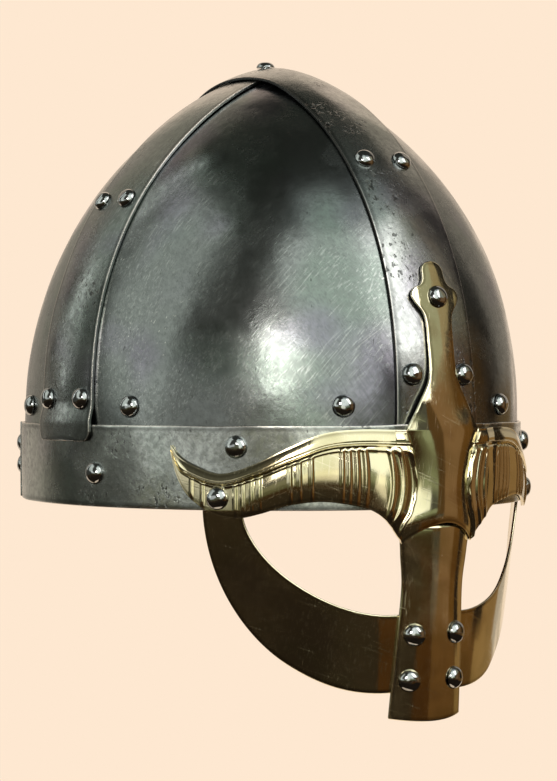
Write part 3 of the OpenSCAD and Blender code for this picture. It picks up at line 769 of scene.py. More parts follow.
@dataclass(frozen=True)
class BrightenedBandSteel(PittedSteel):
    """The brow band's steel: the pitted steel with a lighter base, painted light that makes the
    band reflect brighter than the other bands.
    """

    name: str = "mild_steel_blackened_and_handled"
    # A lighter base than the other bands: painted light that brightens the brow band's
    # reflections.
    base: str = "d2d6d2"
    seed: float = 6.1


@dataclass(frozen=True)
class DarkCutEdgeSteel(PittedSteel):
    """The bands' steel where the edges were left as they were cut, with the cut edges darkened
    almost to black.
    """

    name: str = "mild_steel_blackened_with_sooty_edges"
    base: str = "b6bab8"
    coats: tuple[Coat, ...] = PittedSteel.coats + (
        Coat("141414", 0.92, (CUT_EDGE,)),
    )


# Marks on brass. Hairlines from handling are hundredths of a millimetre wide, and are drawn
# wider so that they show.
TARNISH = Pattern(24, 0.42, 0.70, 2)
HEAT_BROWN = Pattern(17, 0.52, 0.74, 2, shift=0.9)
SOFT_WAVES = Pattern(8.0, 0.30, 0.72, 1, shift=1.7)
HAIRLINES = Pattern(0.5, 0.64, 0.80, 0, (1, 1, 26), (0, 8, 0), 0.4)
CROSS_HAIRLINES = Pattern(0.6, 0.68, 0.82, 0, (22, 22, 1), (0, 24, 0), 1.1)
BRASS_FILED_EDGE = EdgeMark(-2, -1, 0.20, 0.5)
BRASS_GRIME = EdgeMark(0.45, 0.8, 0.9, 2.0)


@dataclass(frozen=True)
class PolishedBrass(Finish):
    """Sheet brass, cut, chased and buffed bright, with a little tarnish.

    Buffing leaves long clean reflections that pick out every chased line. The tarnish turns them
    olive and brown in places, and the glowing olive and brown sheets round the helmet paint more
    of that colour into them as painted reflections.
    """

    name: str = "sheet_brass_chased_and_buffed"
    base: str = "e0d6b4"
    roughness: float = 0.09
    coats: tuple[Coat, ...] = (
        Coat("b0a87c", 0.60, (TARNISH,)),
        Coat("a58a5c", 0.40, (HEAT_BROWN,)),
        Coat("f3ead0", 0.30, (HAIRLINES,)),
        Coat("f3ead0", 0.30, (CROSS_HAIRLINES,)),
        Coat("4a3a20", 0.40, (BRASS_GRIME,)),
        Coat("f4ecd0", 0.70, (BRASS_FILED_EDGE,)),
    )
    dulling: Amounts = (
        (0.05, (TARNISH,)),
        (0.05, (HEAT_BROWN,)),
        (0.08, (HAIRLINES,)),
        (0.08, (CROSS_HAIRLINES,)),
    )
    relief: Amounts = (
        (0.012, (SOFT_WAVES,)),
        (-0.006, (HAIRLINES,)),
        (-0.006, (CROSS_HAIRLINES,)),
    )


# Marks on rivet heads.
SNAP_CLOUDS = Pattern(3.0, 0.45, 0.70, 2)
SNAP_SPECKS = Pattern(0.9, 0.66, 0.76, 1, shift=0.4)
SNAP_DENTS = Pattern(2.2, 0.30, 0.75, 1)


@dataclass(frozen=True)
class HammeredRivetSteel(Finish):
    """Soft iron rivets, domed with a snap and polished with the helmet.

    Their mirror-like heads show the soft boxes as small windows and, as painted reflections, the
    dark glowing sheets that stand for the room around them.
    """

    name: str = "soft_iron_rivet_domed_and_polished"
    base: str = "b4b7b8"
    roughness: float = 0.07
    coats: tuple[Coat, ...] = (
        Coat("85898b", 0.50, (SNAP_CLOUDS,)),
        Coat("4c4e4e", 0.50, (SNAP_SPECKS,)),
    )
    dulling: Amounts = ((0.06, (SNAP_CLOUDS,)),)
    relief: Amounts = ((0.02, (SNAP_DENTS,)),)


# Marks on hide. Its grain is about 0.4 mm across, and is drawn coarser so that it shows.
OIL_STAINS = Pattern(22, 0.35, 0.68, 4)
HIDE_CREASES = Pattern(2.2, 0.35, 0.70, 3, shift=0.6)
HIDE_GRAIN = Pattern(1.5, 0.2, 0.62, grain=Grain.CELLS)
HIDE_EDGE = EdgeMark(-2, -1, 0.2, 2.2)


@dataclass(frozen=True)
class BarkTannedLeather(Finish):
    """Cow hide, bark tanned and oiled, with its flesh side worn smooth.

    The grain shows as small rounded cells, and cut edges are darker where oil soaks in.
    """

    name: str = "cow_hide_bark_tanned_and_oiled"
    base: str = "8a5631"
    roughness: float = 0.52
    coats: tuple[Coat, ...] = (
        Coat("59331b", 0.80, (OIL_STAINS,)),
        Coat("59331b", 0.30, (HIDE_CREASES,)),
        Coat("2b180d", 0.70, (HIDE_EDGE,)),
    )
    dulling: Amounts = ((0.14, (OIL_STAINS,)),)
    relief: Amounts = (
        (-0.07, (HIDE_GRAIN,)),
        (0.12, (HIDE_CREASES,)),
    )
    metallic: float = 0.0
    sheen: float = 0.12


@dataclass
class Finishes:
    """The helmet's finishes, each made once."""

    panels: bpy.types.Material
    cross_band: bpy.types.Material
    crest_band: bpy.types.Material
    brow_band: bpy.types.Material
    brass: bpy.types.Material
    rivets: bpy.types.Material
    leather: bpy.types.Material

    @classmethod
    def make(cls) -> Finishes:
        """Makes every finish."""
        return cls(
            panels=BlackenedSteel(seed=0.2).build(),
            cross_band=PittedSteel().build(),
            crest_band=DarkCutEdgeSteel().build(),
            brow_band=BrightenedBandSteel().build(),
            brass=PolishedBrass().build(),
            rivets=HammeredRivetSteel().build(),
            leather=BarkTannedLeather().build(),
        )


@dataclass
class Register:
    """Places finished pieces on the helmet's body and keeps their number."""

    body: str
    count: int = 0

    def take(
        self,
        obj: bpy.types.Object,
        finish: bpy.types.Material,
        nodes: Sequence[str],
    ) -> bpy.types.Object:
        """Dresses a piece, rides it on the body and hides the solid that it stands for.

        Args:
            obj: The piece.
            finish: Its material.
            nodes: The CAD nodes that it stands for.

        Returns:
            The piece.
        """
        obj.data.materials.clear()
        obj.data.materials.append(finish)
        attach(obj, self.body)
        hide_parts(*nodes)
        self.count += 1
        LOG.info("%s: %d points", obj.name, len(obj.data.vertices))
        return obj


@dataclass
class Panels:
    """The four dished panels that meet under the bands."""

    low: float = 9.0
    seam_gap: float = 1.0
    crown_open: float = 0.06
    crowding: float = 1.15
    wall_rows: int = 12
    rows: int = 120
    columns: int = 110
    rounding: float = 0.3

    def sheet(self, side: Side, end: End) -> Sheet:
        """One quarter of the bowl.

        Args:
            side: The wearer's right or left.
            end: The front or the rear.

        Returns:
            The panel's sheet.
        """
        upright, round_ = BOWL.side
        crown = math.pow(1 - math.pow(self.crown_open, round_), 1 / upright)
        turn = math.asin(math.pow(crown, 1 / self.crowding))
        rise = np.sin(np.linspace(0, turn, self.rows)) ** self.crowding
        wall = np.linspace(self.low, BOWL.brow_h, self.wall_rows)[:-1]
        heights = np.concatenate([wall, BOWL.brow_h + (BOWL.height - BOWL.brow_h) * rise])
        t = np.linspace(0, 90, self.columns)
        angle = side.value * (t if end is End.FRONT else 180 - t)
        clear = self.seam_gap / 2

        def face(off: float) -> np.ndarray:
            """The panel's face at a distance outside the outer face."""
            z = np.where(heights > BOWL.brow_h, heights + off, heights)
            p = BOWL.point(angle[None, :], z[:, None], off)
            p[..., 0] = side.value * np.maximum(clear, side.value * p[..., 0])
            p[..., 1] = -end.value * np.maximum(clear, -end.value * p[..., 1])
            return worked(p) + unit(p) * PLANISHED(p)[..., None]

        return Sheet(face(0.0), face(-LAYERS.steel))

    def build(self, finishes: Finishes, register: Register) -> None:
        """Builds the four panels."""
        for end in End:
            for side in Side:
                node = f"panel_{end.name.lower()}_{side.name.lower()}"
                obj = self.sheet(side, end).build(f"{node}_forged", self.rounding)
                register.take(obj, finishes.panels, [node])


@dataclass
class CrossedBands:
    """The crest band and the cross band, which are riveted to each other at the crown."""

    foot_w: float = 39.0
    crown_w: float = 32.0
    tuck: float = 12.0
    lap: float = 6.5
    end_r: float = 4.0
    end_bend: float = 8.0
    crown_lift: float = 0.4
    crown_gap: float = 0.25
    crown_from: float = 45.0
    crown_full: float = 12.0
    crest_clear: float = 2.0
    settle: float = 40.0
    step_rise: float = 0.5
    bend: float = 8.0
    wall_rows: int = 9
    steps: int = 260
    columns: int = 26
    rounding: float = 0.35

    def half(self, z: Any) -> Any:
        """Half width of a band at a height."""
        rise = np.clip((z - BOWL.brow_h) / (BOWL.height - BOWL.brow_h), 0, 1)
        return (self.foot_w + (self.crown_w - self.foot_w) * rise) / 2

    def end_half(self, z: Any, low: float) -> Any:
        """Half width of the cross band near an end that stops at height low."""
        r = self.end_r
        inset = r - np.minimum(r, z - low)
        return self.half(z) - r + np.sqrt(r * r - inset**2)

    def at_crown(self, z: Any) -> Any:
        """1 over the crown, where the bands stand off the panels, and 0 lower down."""
        return ramp(z, BOWL.height - self.crown_from, BOWL.height - self.crown_full)

    def crest_off(self, mid: np.ndarray) -> np.ndarray:
        """The place of the crest band's outer face along its middle."""
        z, y = mid[..., 2], np.abs(mid[..., 1])
        clear = self.crown_w / 2 + self.crest_clear
        over = (LAYERS.one + self.crown_gap) * (1 - ramp(y, clear, clear + self.settle))
        return LAYERS.one + self.crown_lift * self.at_crown(z) + np.where(z > BOWL.brow_h, over, 0)

    def cross_off(self, mid: np.ndarray) -> np.ndarray:
        """The place of the cross band's outer face along its middle."""
        z = mid[..., 2]
        start = BOWL.brow_h + self.step_rise
        over = LAYERS.one * (1 - ramp(z, start, start + self.end_bend))
        return LAYERS.one + self.crown_lift * self.at_crown(z) + over

    @staticmethod
    def point(across: bool, end: np.ndarray, v: np.ndarray, t: Any, off: Any) -> np.ndarray:
        """Points on a strip that runs over the crown.

        Args:
            across: Whether it runs from side to side.
            end: -1 or 1 on an upright wall, 0 on the dome.
            v: Height on a wall, or the angle over the crown in degrees.
            t: Distance off the strip's middle line.
            off: Distance outside the panels' outer face.

        Returns:
            The points.
        """
        end, v, t, off = np.broadcast_arrays(end, v, t, off)
        a = np.radians(v)
        zero = np.zeros_like(a)
        base = np.full_like(a, BOWL.brow_h)
        long_half, wide_half = BOWL.length / 2 + off, BOWL.width / 2 + off
        if across:
            start = np.stack([zero, t, base], -1)
            way = np.stack([-np.cos(a), zero, np.sin(a)], -1)
            x = end * wide_half * np.sqrt(np.clip(1 - (t / long_half) ** 2, 0, 1))
            wall = np.stack([x, t, v], -1)
        else:
            start = np.stack([t, zero, base], -1)
            way = np.stack([zero, -np.cos(a), np.sin(a)], -1)
            y = end * long_half * np.sqrt(np.clip(1 - (t / wide_half) ** 2, 0, 1))
            wall = np.stack([t, y, v], -1)
        return np.where((end == 0)[..., None], BOWL.hit(start, way, off), wall)

    def strip(
        self,
        across: bool,
        heights: np.ndarray,
        steps: int,
        columns: int,
        thick: float,
        half_at: Callable[[np.ndarray], np.ndarray],
        off_at: Callable[[np.ndarray], np.ndarray],
    ) -> Sheet:
        """A strip over the crown.

        Args:
            across: Whether it runs from side to side.
            heights: Heights of its rows on the upright walls, from its end up.
            steps: Rows over the dome.
            columns: Points across its width.
            thick: Its thickness.
            half_at: Gives its half width at the heights of its middle line.
            off_at: Gives the place of its outer face along its middle line.

        Returns:
            The strip's sheet.
        """
        low = np.full(len(heights), -1.0)
        end = np.concatenate([low, np.zeros(steps + 1), -low])
        v = np.concatenate([heights, np.linspace(0, 180, steps + 1), heights[::-1]])
        mid = self.point(across, end, v, 0.0, 0.0)
        half = half_at(mid[:, 2])
        off = off_at(mid)
        t = half[:, None] * np.linspace(-1, 1, columns)[None, :]
        faces = [
            self.point(across, end[:, None], v[:, None], t, (off - under)[:, None])
            for under in (0.0, thick)
        ]
        return Sheet(*(worked(f) + unit(f) * PLANISHED(f)[..., None] for f in faces))

    def build(self, finishes: Finishes, register: Register) -> None:
        """Builds both bands."""
        low = BOWL.brow_h - self.tuck
        crest = self.strip(
            False,
            np.linspace(low, BOWL.brow_h, self.wall_rows)[:-1],
            self.steps,
            self.columns,
            LAYERS.steel,
            self.half,
            self.crest_off,
        )
        obj = crest.build("crest_band_forged", self.rounding)
        register.take(obj, finishes.crest_band, ["crest_band"])
        low = BOWL.brow_h - self.lap
        corner = low + self.end_r * (1 - np.cos(np.linspace(0, math.pi / 2, self.wall_rows)))
        cross = self.strip(
            True,
            np.concatenate([corner, np.linspace(corner[-1], BOWL.brow_h, 4)[1:-1]]),
            self.steps,
            self.columns,
            LAYERS.steel,
            lambda z: np.where(z < BOWL.brow_h, self.end_half(z, low), self.half(z)),
            self.cross_off,
        )
        obj = cross.build("cross_band_forged", self.rounding)
        register.take(obj, finishes.cross_band, ["cross_band"])


BANDS = CrossedBands()


def over_crest(angle: Any) -> Any:
    """1 where the brow band passes over the crest band's ends, and 0 elsewhere."""
    edge = BANDS.foot_w / 2 + 1
    return 1 - ramp(BOWL.width / 2 * np.abs(np.sin(np.radians(angle))), edge, edge + BANDS.bend)


@dataclass
class BrowBand:
    """The band round the rim: one strip whose ends lap and are riveted."""

    joint_angle: float = 135.5
    joint_lap: float = 24.0
    columns: int = 560
    rows: int = 22
    rounding: float = 0.3

    def build(self, finishes: Finishes, register: Register) -> None:
        """Builds the brow band."""
        half_l, half_w = BOWL.length / 2, BOWL.width / 2
        turn = math.degrees(self.joint_lap / half_l)
        bend = math.degrees(BANDS.bend / half_l)
        start = -self.joint_angle - turn / 2
        a = np.linspace(start, start + 360 + turn, self.columns)
        off = LAYERS.lap + LAYERS.one * over_crest(a)
        off = off + LAYERS.one * ramp(a, start + 360 - bend, start + 360)
        z = np.linspace(0, BOWL.brow_h, self.rows)
        uneven = Ripple(seed=21, size=24.0, height=0.1)

        def face(extra: float) -> np.ndarray:
            """The band's face at a distance outside its inner face."""
            x = (half_w + off + extra) * np.sin(np.radians(a))
            y = -(half_l + off + extra) * np.cos(np.radians(a))
            p = np.stack(np.broadcast_arrays(x, y, z[:, None]), -1)
            top = p[-1].copy()
            p[..., 2] += (z[:, None] / BOWL.brow_h) ** 4 * uneven(top)[None, :]
            flat = unit(p * np.array([1.0, 1.0, 0.0]))
            return p + flat * (FORGED(p) + PLANISHED(p))[..., None]

        band = Sheet(face(LAYERS.steel), face(0.0))
        obj = band.build("brow_band_forged", self.rounding)
        register.take(obj, finishes.brow_band, ["brow_band"])


@dataclass
class Patch:
    """A grid of places on the brow plate.

    It holds their distances round the helmet from the centre line, their heights above the rim,
    how far they lie from the plate's edge, how far the plate bulges forward there, and how high
    its raised work stands.
    """

    u: np.ndarray
    z: np.ndarray
    edge: np.ndarray
    forward: Any = 0.0
    work: Any = 0.0


@dataclass
class Mask:
    """The brass brow plate, the nasal bar and the two eye rings."""

    reach: float = 106.5
    arch_drop: float = 1.6
    dip_drop: float = 18.0
    border_w: float = 5.8
    border_h: float = 1.2
    bead_h: float = 0.32
    flute_h: float = 0.6
    flute_w: float = 1.1
    bridge_w: float = 11.2
    brow_from: float = 5.8
    stem_w: float = 6.5
    finial_w: float = 11.9
    finial_top: float = 94.5
    finial_round: float = 4.2
    belly_h: float = 0.75
    stem_settle: float = 34.0
    stem_twist: float = -0.105
    stem_twist_u: float = 9.0
    stem_sink: float = 0.25
    tilt: float = 2.0
    side_u: float = 60.0
    stem_gap: float = 0.15
    nasal_drop: float = 81.0
    nasal_w: float = 14.7
    nasal_foot_w: float = 17.3
    nasal_bulge: float = 3.6
    lean: float = 0.06
    ring_lean: float = 0.065
    tip_past_ring: float = 12.2
    ring_drop: float = 70.0
    ring_side_w: float = 16.0
    ring_nose_w: float = 30.0
    ring_nose_u: float = 19.0
    ring_gap: float = 3.0
    ring_top: float = 8.6
    ring_columns: int = 22
    root_half: float = 15.0
    root_top: float = 18.5
    arch_top: float = -5.2
    flute_parts: tuple[float, ...] = (
        0.015, 0.059, 0.097, 0.186, 0.216, 0.244, 0.269, 0.393, 0.442, 0.481,
        0.607, 0.64, 0.678, 0.71, 0.852, 0.902,
    )
    tip_run: float = 4.0
    body_rows: int = 56
    border_rows: int = 30
    bridge_columns: int = 41
    stem_steps: tuple[int, int, int] = (60, 64, 20)
    finial_h: float = 24.0
    cap_h: float = 4.0
    line_depth: float = 0.35
    rib_h: float = 0.28
    body_mm: float = 26.0
    chased_depth: float = 0.3
    chased_rib_h: float = 0.6
    inner_relief: float = 0.8
    plate_rounding: float = 0.22
    rounding: float = 0.42
    angles: np.ndarray = field(init=False)
    distances: np.ndarray = field(init=False)
    foot_u: float = field(init=False)
    ridge: Curve = field(init=False)
    stem: Curve = field(init=False)
    bulge_at: Curve = field(init=False)
    top_edge: Curve = field(init=False)
    low_edge: Curve = field(init=False)

    def __post_init__(self) -> None:
        """Measures the wall's length and lays out the outline curves."""
        self.angles = np.arange(0.0, 91.0)
        steps = np.linalg.norm(np.diff(BOWL.point(self.angles, 0.0, 0.0), axis=0), axis=-1)
        self.distances = np.concatenate([[0.0], np.cumsum(steps)])
        self.foot_u = self.bridge_w + self.brow_from
        top = BOWL.brow_h
        self.ridge = Curve(
            [
                (-self.nasal_drop, self.nasal_foot_w),
                (-49, self.nasal_w + 1),
                (-29, self.nasal_w),
                (-16, 16),
                (-8, 16.2),
                (0, self.bridge_w + 1.4),
                (9, self.bridge_w),
                (19, self.bridge_w + 1.5),
                (top - 2, self.bridge_w + 5.4),
            ]
        )
        tip = self.finial_top
        self.stem = Curve(
            [
                (top - 2, self.bridge_w + 5.4),
                (top + 8, self.stem_w + 5.4),
                (top + 18, self.stem_w + 0.6),
                (tip - 30, self.stem_w),
                (tip - 21, self.stem_w + 0.7),
                (tip - 15.6, self.finial_w - 1),
                (tip - 13.2, self.finial_w),
                (tip - 10.6, self.finial_w - 1.6),
                (tip - 9.2, self.stem_w + 0.8),
                (tip - 6.5, self.stem_w - 0.8),
                (tip, self.stem_w - 1),
            ]
        )
        self.bulge_at = Curve(
            [
                (-self.nasal_drop, self.nasal_bulge),
                (-16, 0.88 * self.nasal_bulge),
                (4, 0.72 * self.nasal_bulge),
                (top - 4, 0.6 * self.nasal_bulge),
                (top + 8, 0.24 * self.nasal_bulge),
                (top + 18, 0.1 * self.nasal_bulge),
                (top + 30, 0.08 * self.nasal_bulge),
                (tip, 0.08 * self.nasal_bulge),
            ]
        )
        self.top_edge = Curve(
            [
                (self.foot_u, top - self.arch_drop - 0.4),
                (self.along(0.208), top - self.arch_drop),
                (self.along(0.35), top - self.arch_drop - 1.6),
                (self.along(0.492), top - self.arch_drop - 6.9),
                (self.along(0.634), top - (self.arch_drop + 3 * self.dip_drop) / 4 - 0.7),
                (self.along(0.776), top - self.dip_drop),
                (self.along(0.913), top - self.dip_drop + 3.8),
                (self.along(0.973), top - self.dip_drop + 7.3),
                (self.reach, top - self.dip_drop + 10.6),
            ]
        )
        self.low_edge = Curve(
            [
                (self.foot_u, -12.8),
                (self.along(0.033), -8.8),
                (self.along(0.087), -4.5),
                (self.along(0.164), 0.2),
                (self.along(0.262), 2.6),
                (self.along(0.361), 3.4),
                (self.along(0.492), 2),
                (self.along(0.601), -1),
                (self.along(0.7), -2.8),
                (self.along(0.798), -1.5),
                (self.along(0.913), 5),
                (self.along(0.967), 12.1),
                (self.reach, 21),
            ]
        )

    def along(self, part: Any) -> Any:
        """Distance round the helmet to a place on a brow, from 0 at the bridge to 1 at its tip."""
        return self.foot_u + (self.reach - self.foot_u) * part

    def half(self, z: Any) -> Any:
        """Half width of the ridge down the middle of the mask."""
        cap = self.finial_top - self.finial_round
        part = np.sqrt(np.clip(1 - (np.maximum(z - cap, 0) / self.finial_round) ** 2, 1e-4, 1))
        return np.where(z < BOWL.brow_h - 2, self.ridge(z), self.stem(z) * part)

    def bulge(self, u: Any, z: Any) -> Any:
        """How far the ridge bulges forward, and its stem turns aside, at u and a height."""
        near = np.clip(u, -self.stem_twist_u, self.stem_twist_u)
        turned = self.stem_twist * near - self.stem_sink
        turned = turned * ramp(z, BOWL.brow_h - 4, BOWL.brow_h + 9)
        return self.bulge_at(z) * np.clip(1 - (u / self.half(z)) ** 2, 0, None) + turned

    def angle_at(self, u: Any) -> Any:
        """The angle on the bowl's wall at a distance round it from the front."""
        return np.sign(u) * np.interp(np.abs(u), self.distances, self.angles)

    def tilted(self, u: Any, z: Any) -> Any:
        """The distance round the helmet of a point that a straight mask has at u."""
        middle = 1 - ramp(np.abs(u), self.foot_u, self.side_u)
        return u + math.tan(math.radians(self.tilt)) * (z - BOWL.brow_h + 4) * middle

    def point(self, u: Any, z: Any, off: Any, forward: Any = 0.0) -> np.ndarray:
        """A point of the mask.

        Args:
            u: Distance round the helmet from the centre line.
            z: Height above the rim.
            off: Distance outside the panels' outer face.
            forward: How far the point is moved along -Y.

        Returns:
            The points.
        """
        u, z, off, forward = np.broadcast_arrays(u, z, off, forward)
        leaning = self.lean + self.ring_lean * ramp(np.abs(u), self.foot_u, self.side_u)
        e = off - leaning * np.maximum(0, -z)
        angle = np.radians(self.angle_at(self.tilted(u, z)))
        s = np.sin(angle) / np.maximum(0.2, BOWL.side_part(z, e))
        p = BOWL.point(np.degrees(np.arcsin(np.clip(s, -1, 1))), z, e)
        p[..., 1] -= forward
        return p

    def plate_in(self, u: Any, z: Any) -> Any:
        """The inner face of the brow plate over what lies under it."""
        top = BOWL.brow_h
        over = over_crest(self.angle_at(self.tilted(u, z))) * ramp(z, -12.8, -1.0)
        return (
            LAYERS.one
            + LAYERS.lap
            + self.stem_gap * ramp(z, top, top + BANDS.bend)
            + LAYERS.one * over * (1 - ramp(z, top + 1, top + 1 + self.stem_settle))
        )

    def border_at(self, u: Any) -> Any:
        """Height of the rolled border at a distance from the centre line."""
        slope = self.top_edge(u + 0.5) - self.top_edge(u - 0.5)
        narrow = 1 - 0.3 * ramp(u, 45, 78)
        return self.border_w * narrow * np.sqrt(1 + slope**2)

    def flutes(self, v: np.ndarray) -> np.ndarray:
        """How high the flutes stand at distances along a brow, from 0 to 1."""
        centres = self.along(np.array(self.flute_parts))
        d = np.abs(v[..., None] - centres) / self.flute_w
        return (np.clip(1 - d**2, 0, 1) ** 1.6).max(axis=-1)

    def chased(self, v: np.ndarray, z: np.ndarray) -> np.ndarray:
        """The height of the chased line between a brow and the bridge."""
        d = v - self.foot_u
        wobble = 1 + 2.2 * HAND_CHASED(np.stack([v, z, z * 0], -1))
        rib = self.chased_rib_h * bump(d - 1.1, 0.6)
        return rib * wobble - self.chased_depth * bump(d, 0.45)

    def raised(self, v: np.ndarray, z: np.ndarray, t_body: Any, t_roll: Any) -> np.ndarray:
        """The raised work of a brow: border, flutes, chased lines and the belly between them.

        Args:
            v: Distance along the brow.
            z: Height above the rim.
            t_body: 0 at the lower edge to 1 at the border line.
            t_roll: 0 at the border line to 1 at the top edge.

        Returns:
            The height of the work above the plain sheet.
        """
        t = np.clip(t_roll, 0, 1)
        roll = self.border_h * np.cos(t * np.pi / 2) ** 0.9 * (1 - np.exp(-t / 0.05))
        roll = roll + self.bead_h * bump(t * self.border_w - 0.55, 0.32)
        roll = roll + 0.6 * self.bead_h * bump((1 - t) * self.border_w, 0.4)
        tall = 1 - ramp(v, self.reach - 9, self.reach - 1)
        # The line chased along the border, with a rib of pushed-up metal on its body side.
        under = (1 - t_body) * self.body_mm
        line = -self.line_depth * bump(t_roll * 5.5) * bump(under)
        rib = self.rib_h * bump(under - 1.6) * (t_roll <= 0)
        fade = ramp(t_body, -0.25, 0.3) * (1 - ramp(t_body, 0.9, 0.985))
        flutes = self.flute_h * self.flutes(v) * fade * tall
        spread = ramp(v, self.foot_u, self.foot_u + 16)
        spread = spread * (1 - ramp(v, self.reach - 36, self.reach - 24))
        belly = self.belly_h * np.sin(np.pi * t_body) * spread
        chased = self.chased(v, z) * (z < BOWL.brow_h - 3)
        return roll * tall + line + rib + (flutes + belly) + chased

    def row_places(self) -> tuple[np.ndarray, np.ndarray]:
        """Where the plate's rows lie: up its body to the border line, then over its border."""
        low = 1 - (1 - np.linspace(0, 1, self.body_rows)) ** 1.2
        high = np.linspace(0, 1, self.border_rows)[1:] ** 1.3
        t_body = np.concatenate([low, np.ones(self.border_rows - 1)])
        t_roll = np.concatenate([np.zeros(self.body_rows), high])
        return t_body[:, None], t_roll[:, None]

    def wing_patch(self) -> Patch:
        """One brow, its columns running from the bridge out to the tip."""
        shank = np.linspace(self.foot_u, self.reach - self.tip_run, 300)
        crescent = self.reach - self.tip_run * np.linspace(1, 0, 22)[1:] ** 1.5
        v = np.concatenate([shank, crescent])
        t_body, t_roll = self.row_places()
        low, top = self.low_edge(v), self.top_edge(v)
        border = np.minimum(self.border_at(v), 0.5 * (top - low))
        z = low + (top - border - low) * t_body + border * t_roll
        near = 1 - ramp(v, self.foot_u, self.foot_u + 28)
        edge = np.minimum(np.minimum(z - low, top - z) * 0.9, self.reach - v)
        return Patch(
            u=v + (self.half(z) - self.foot_u) * near,
            z=z,
            edge=edge,
            work=self.raised(np.broadcast_to(v, z.shape), z, t_body, t_roll),
        )

    def bridge_patch(self) -> Patch:
        """The bridge between the brows, in the same rows."""
        s = np.linspace(-1, 1, self.bridge_columns)
        t_body, t_roll = self.row_places()
        arch = self.arch_top + (self.low_edge(self.foot_u) - self.arch_top) * s**2
        line = float(self.top_edge(self.foot_u)) - self.border_w
        z = arch + (line - arch) * t_body + self.border_w * t_roll
        u = s * self.half(z)
        return Patch(u, z, edge=z - arch, forward=self.bulge(u, z))

    def stem_patch(self) -> Patch:
        """The stem and its finial, in the bridge's columns."""
        tip = self.finial_top
        low, cap = tip - self.finial_h, tip - self.cap_h
        climb, swell, close = self.stem_steps
        rows = np.concatenate(
            [
                np.linspace(BOWL.brow_h - 2, low, climb)[1:],
                np.linspace(low, cap, swell)[1:],
                tip - (tip - cap) * (1 - np.sin(np.linspace(0, math.pi / 2, close)[1:])),
            ]
        )[:, None]
        u = np.linspace(-1, 1, self.bridge_columns) * self.half(rows)
        z = np.broadcast_to(rows, u.shape)
        edge = np.minimum(self.half(z) - np.abs(u), tip - z)
        return Patch(u, z, edge=edge, forward=self.bulge(u, z))

    def plate_face(self, patch: Patch, under: float, side: int = 1) -> np.ndarray:
        """A patch of the brow plate at a depth under its outer face.

        Args:
            patch: The patch.
            under: The depth. The raised work is a little flatter on the inner face.
            side: -1 for the patch's mirror image on the wearer's right.

        Returns:
            A grid of points.
        """
        work = patch.work * (1.0 if under == 0 else self.inner_relief)
        off = self.plate_in(patch.u, patch.z) + LAYERS.brass - under + work
        return self.point(side * patch.u, patch.z, off, patch.forward)

    def brow_skin(self) -> tuple[np.ndarray, list[tuple[int, ...]], np.ndarray]:
        """The brow plate: two brows, the bridge and the stem in one skin.

        Returns:
            Points, faces and each point's distance from the edge.
        """
        wing, bridge, stem = self.wing_patch(), self.bridge_patch(), self.stem_patch()

        def across(right: np.ndarray, middle: np.ndarray, left: np.ndarray) -> np.ndarray:
            """The brows and the bridge side by side, without the columns that they share."""
            return np.concatenate([right[:, :0:-1], middle, left[:, 1:]], axis=1)

        faces = []
        for under in (0.0, LAYERS.brass):
            right, left = (self.plate_face(wing, under, side.value) for side in Side)
            body = across(right, self.plate_face(bridge, under), left)
            faces += [worked(body), worked(self.plate_face(stem, under))]
        edges = (across(wing.edge, bridge.edge, wing.edge).ravel(), stem.edge.ravel())
        (m, n), (k, w) = body.shape[:2], stem.u.shape
        first = wing.u.shape[1] - 1
        grid = np.full((m + k, n), -1)
        grid[:m] = np.arange(m * n).reshape(m, n)
        grid[m:, first : first + w] = m * n + np.arange(k * w).reshape(k, w)
        points = np.concatenate([face.reshape(-1, 3) for face in faces])
        return points, skin(grid), np.tile(np.concatenate(edges), 2)

    def nasal_half(self, z: Any) -> Any:
        """Half width of the nasal bar."""
        wide = self.ridge(-8.0)
        return np.where(
            z > -8, wide + (self.root_half - wide) * ramp(z, -8, 4), self.ridge(np.minimum(z, 0))
        )

    def nasal_forward(self, u: Any, z: Any) -> Any:
        """How far the nasal bar bulges forward."""
        part = np.clip(1 - (u / self.nasal_half(z)) ** 2, 0, None)
        return self.nasal_bulge * ramp(-z, 0, 8) * part

    def nasal_sheet(self) -> Sheet:
        """The nasal bar, from its hidden root behind the brow band to its foot."""
        z = np.concatenate(
            [np.linspace(self.root_top, 0, 10)[:-1], np.linspace(0, -self.nasal_drop, 120)]
        )
        s = np.linspace(-1, 1, 45)
        zs = z[:, None] + 0 * s[None, :]
        foot = 10 - self.nasal_drop
        zs = zs + np.where(zs < foot, 1.4 * s**2 * (foot - zs) / 10, 0)
        u = s[None, :] * self.nasal_half(zs)
        forward = self.nasal_forward(u, zs)
        return Sheet(
            worked(self.point(u, zs, LAYERS.one, forward)),
            worked(self.point(u, zs, LAYERS.lap, forward)),
        )

    def ring_sheet(self, side: Side) -> Sheet:
        """One eye ring, from behind the nasal bar round to behind the brow's tip."""
        outer_reach = self.reach - self.tip_past_ring
        inner_reach = outer_reach - self.ring_side_w
        inner_drop = self.ring_drop - self.ring_nose_w
        t = np.linspace(0, math.pi / 2, 90)
        nose = np.linspace(self.ring_gap / 2 / self.nasal_w, 1, 16)[:, None]
        c = np.linspace(0, 1, self.ring_columns)
        nose_z = -self.ring_drop + self.ring_nose_w * c
        first = np.stack(np.broadcast_arrays(nose * self.nasal_half(nose_z), nose_z), -1)

        def quarter(reach: float, drop: float, power: float) -> np.ndarray:
            """One edge of the ring as distances and heights."""
            wide = self.ring_nose_u + (reach - self.ring_nose_u) * np.sin(t) ** (2 / power)
            return np.stack([wide, -drop * np.cos(t) ** (2 / power)], -1)

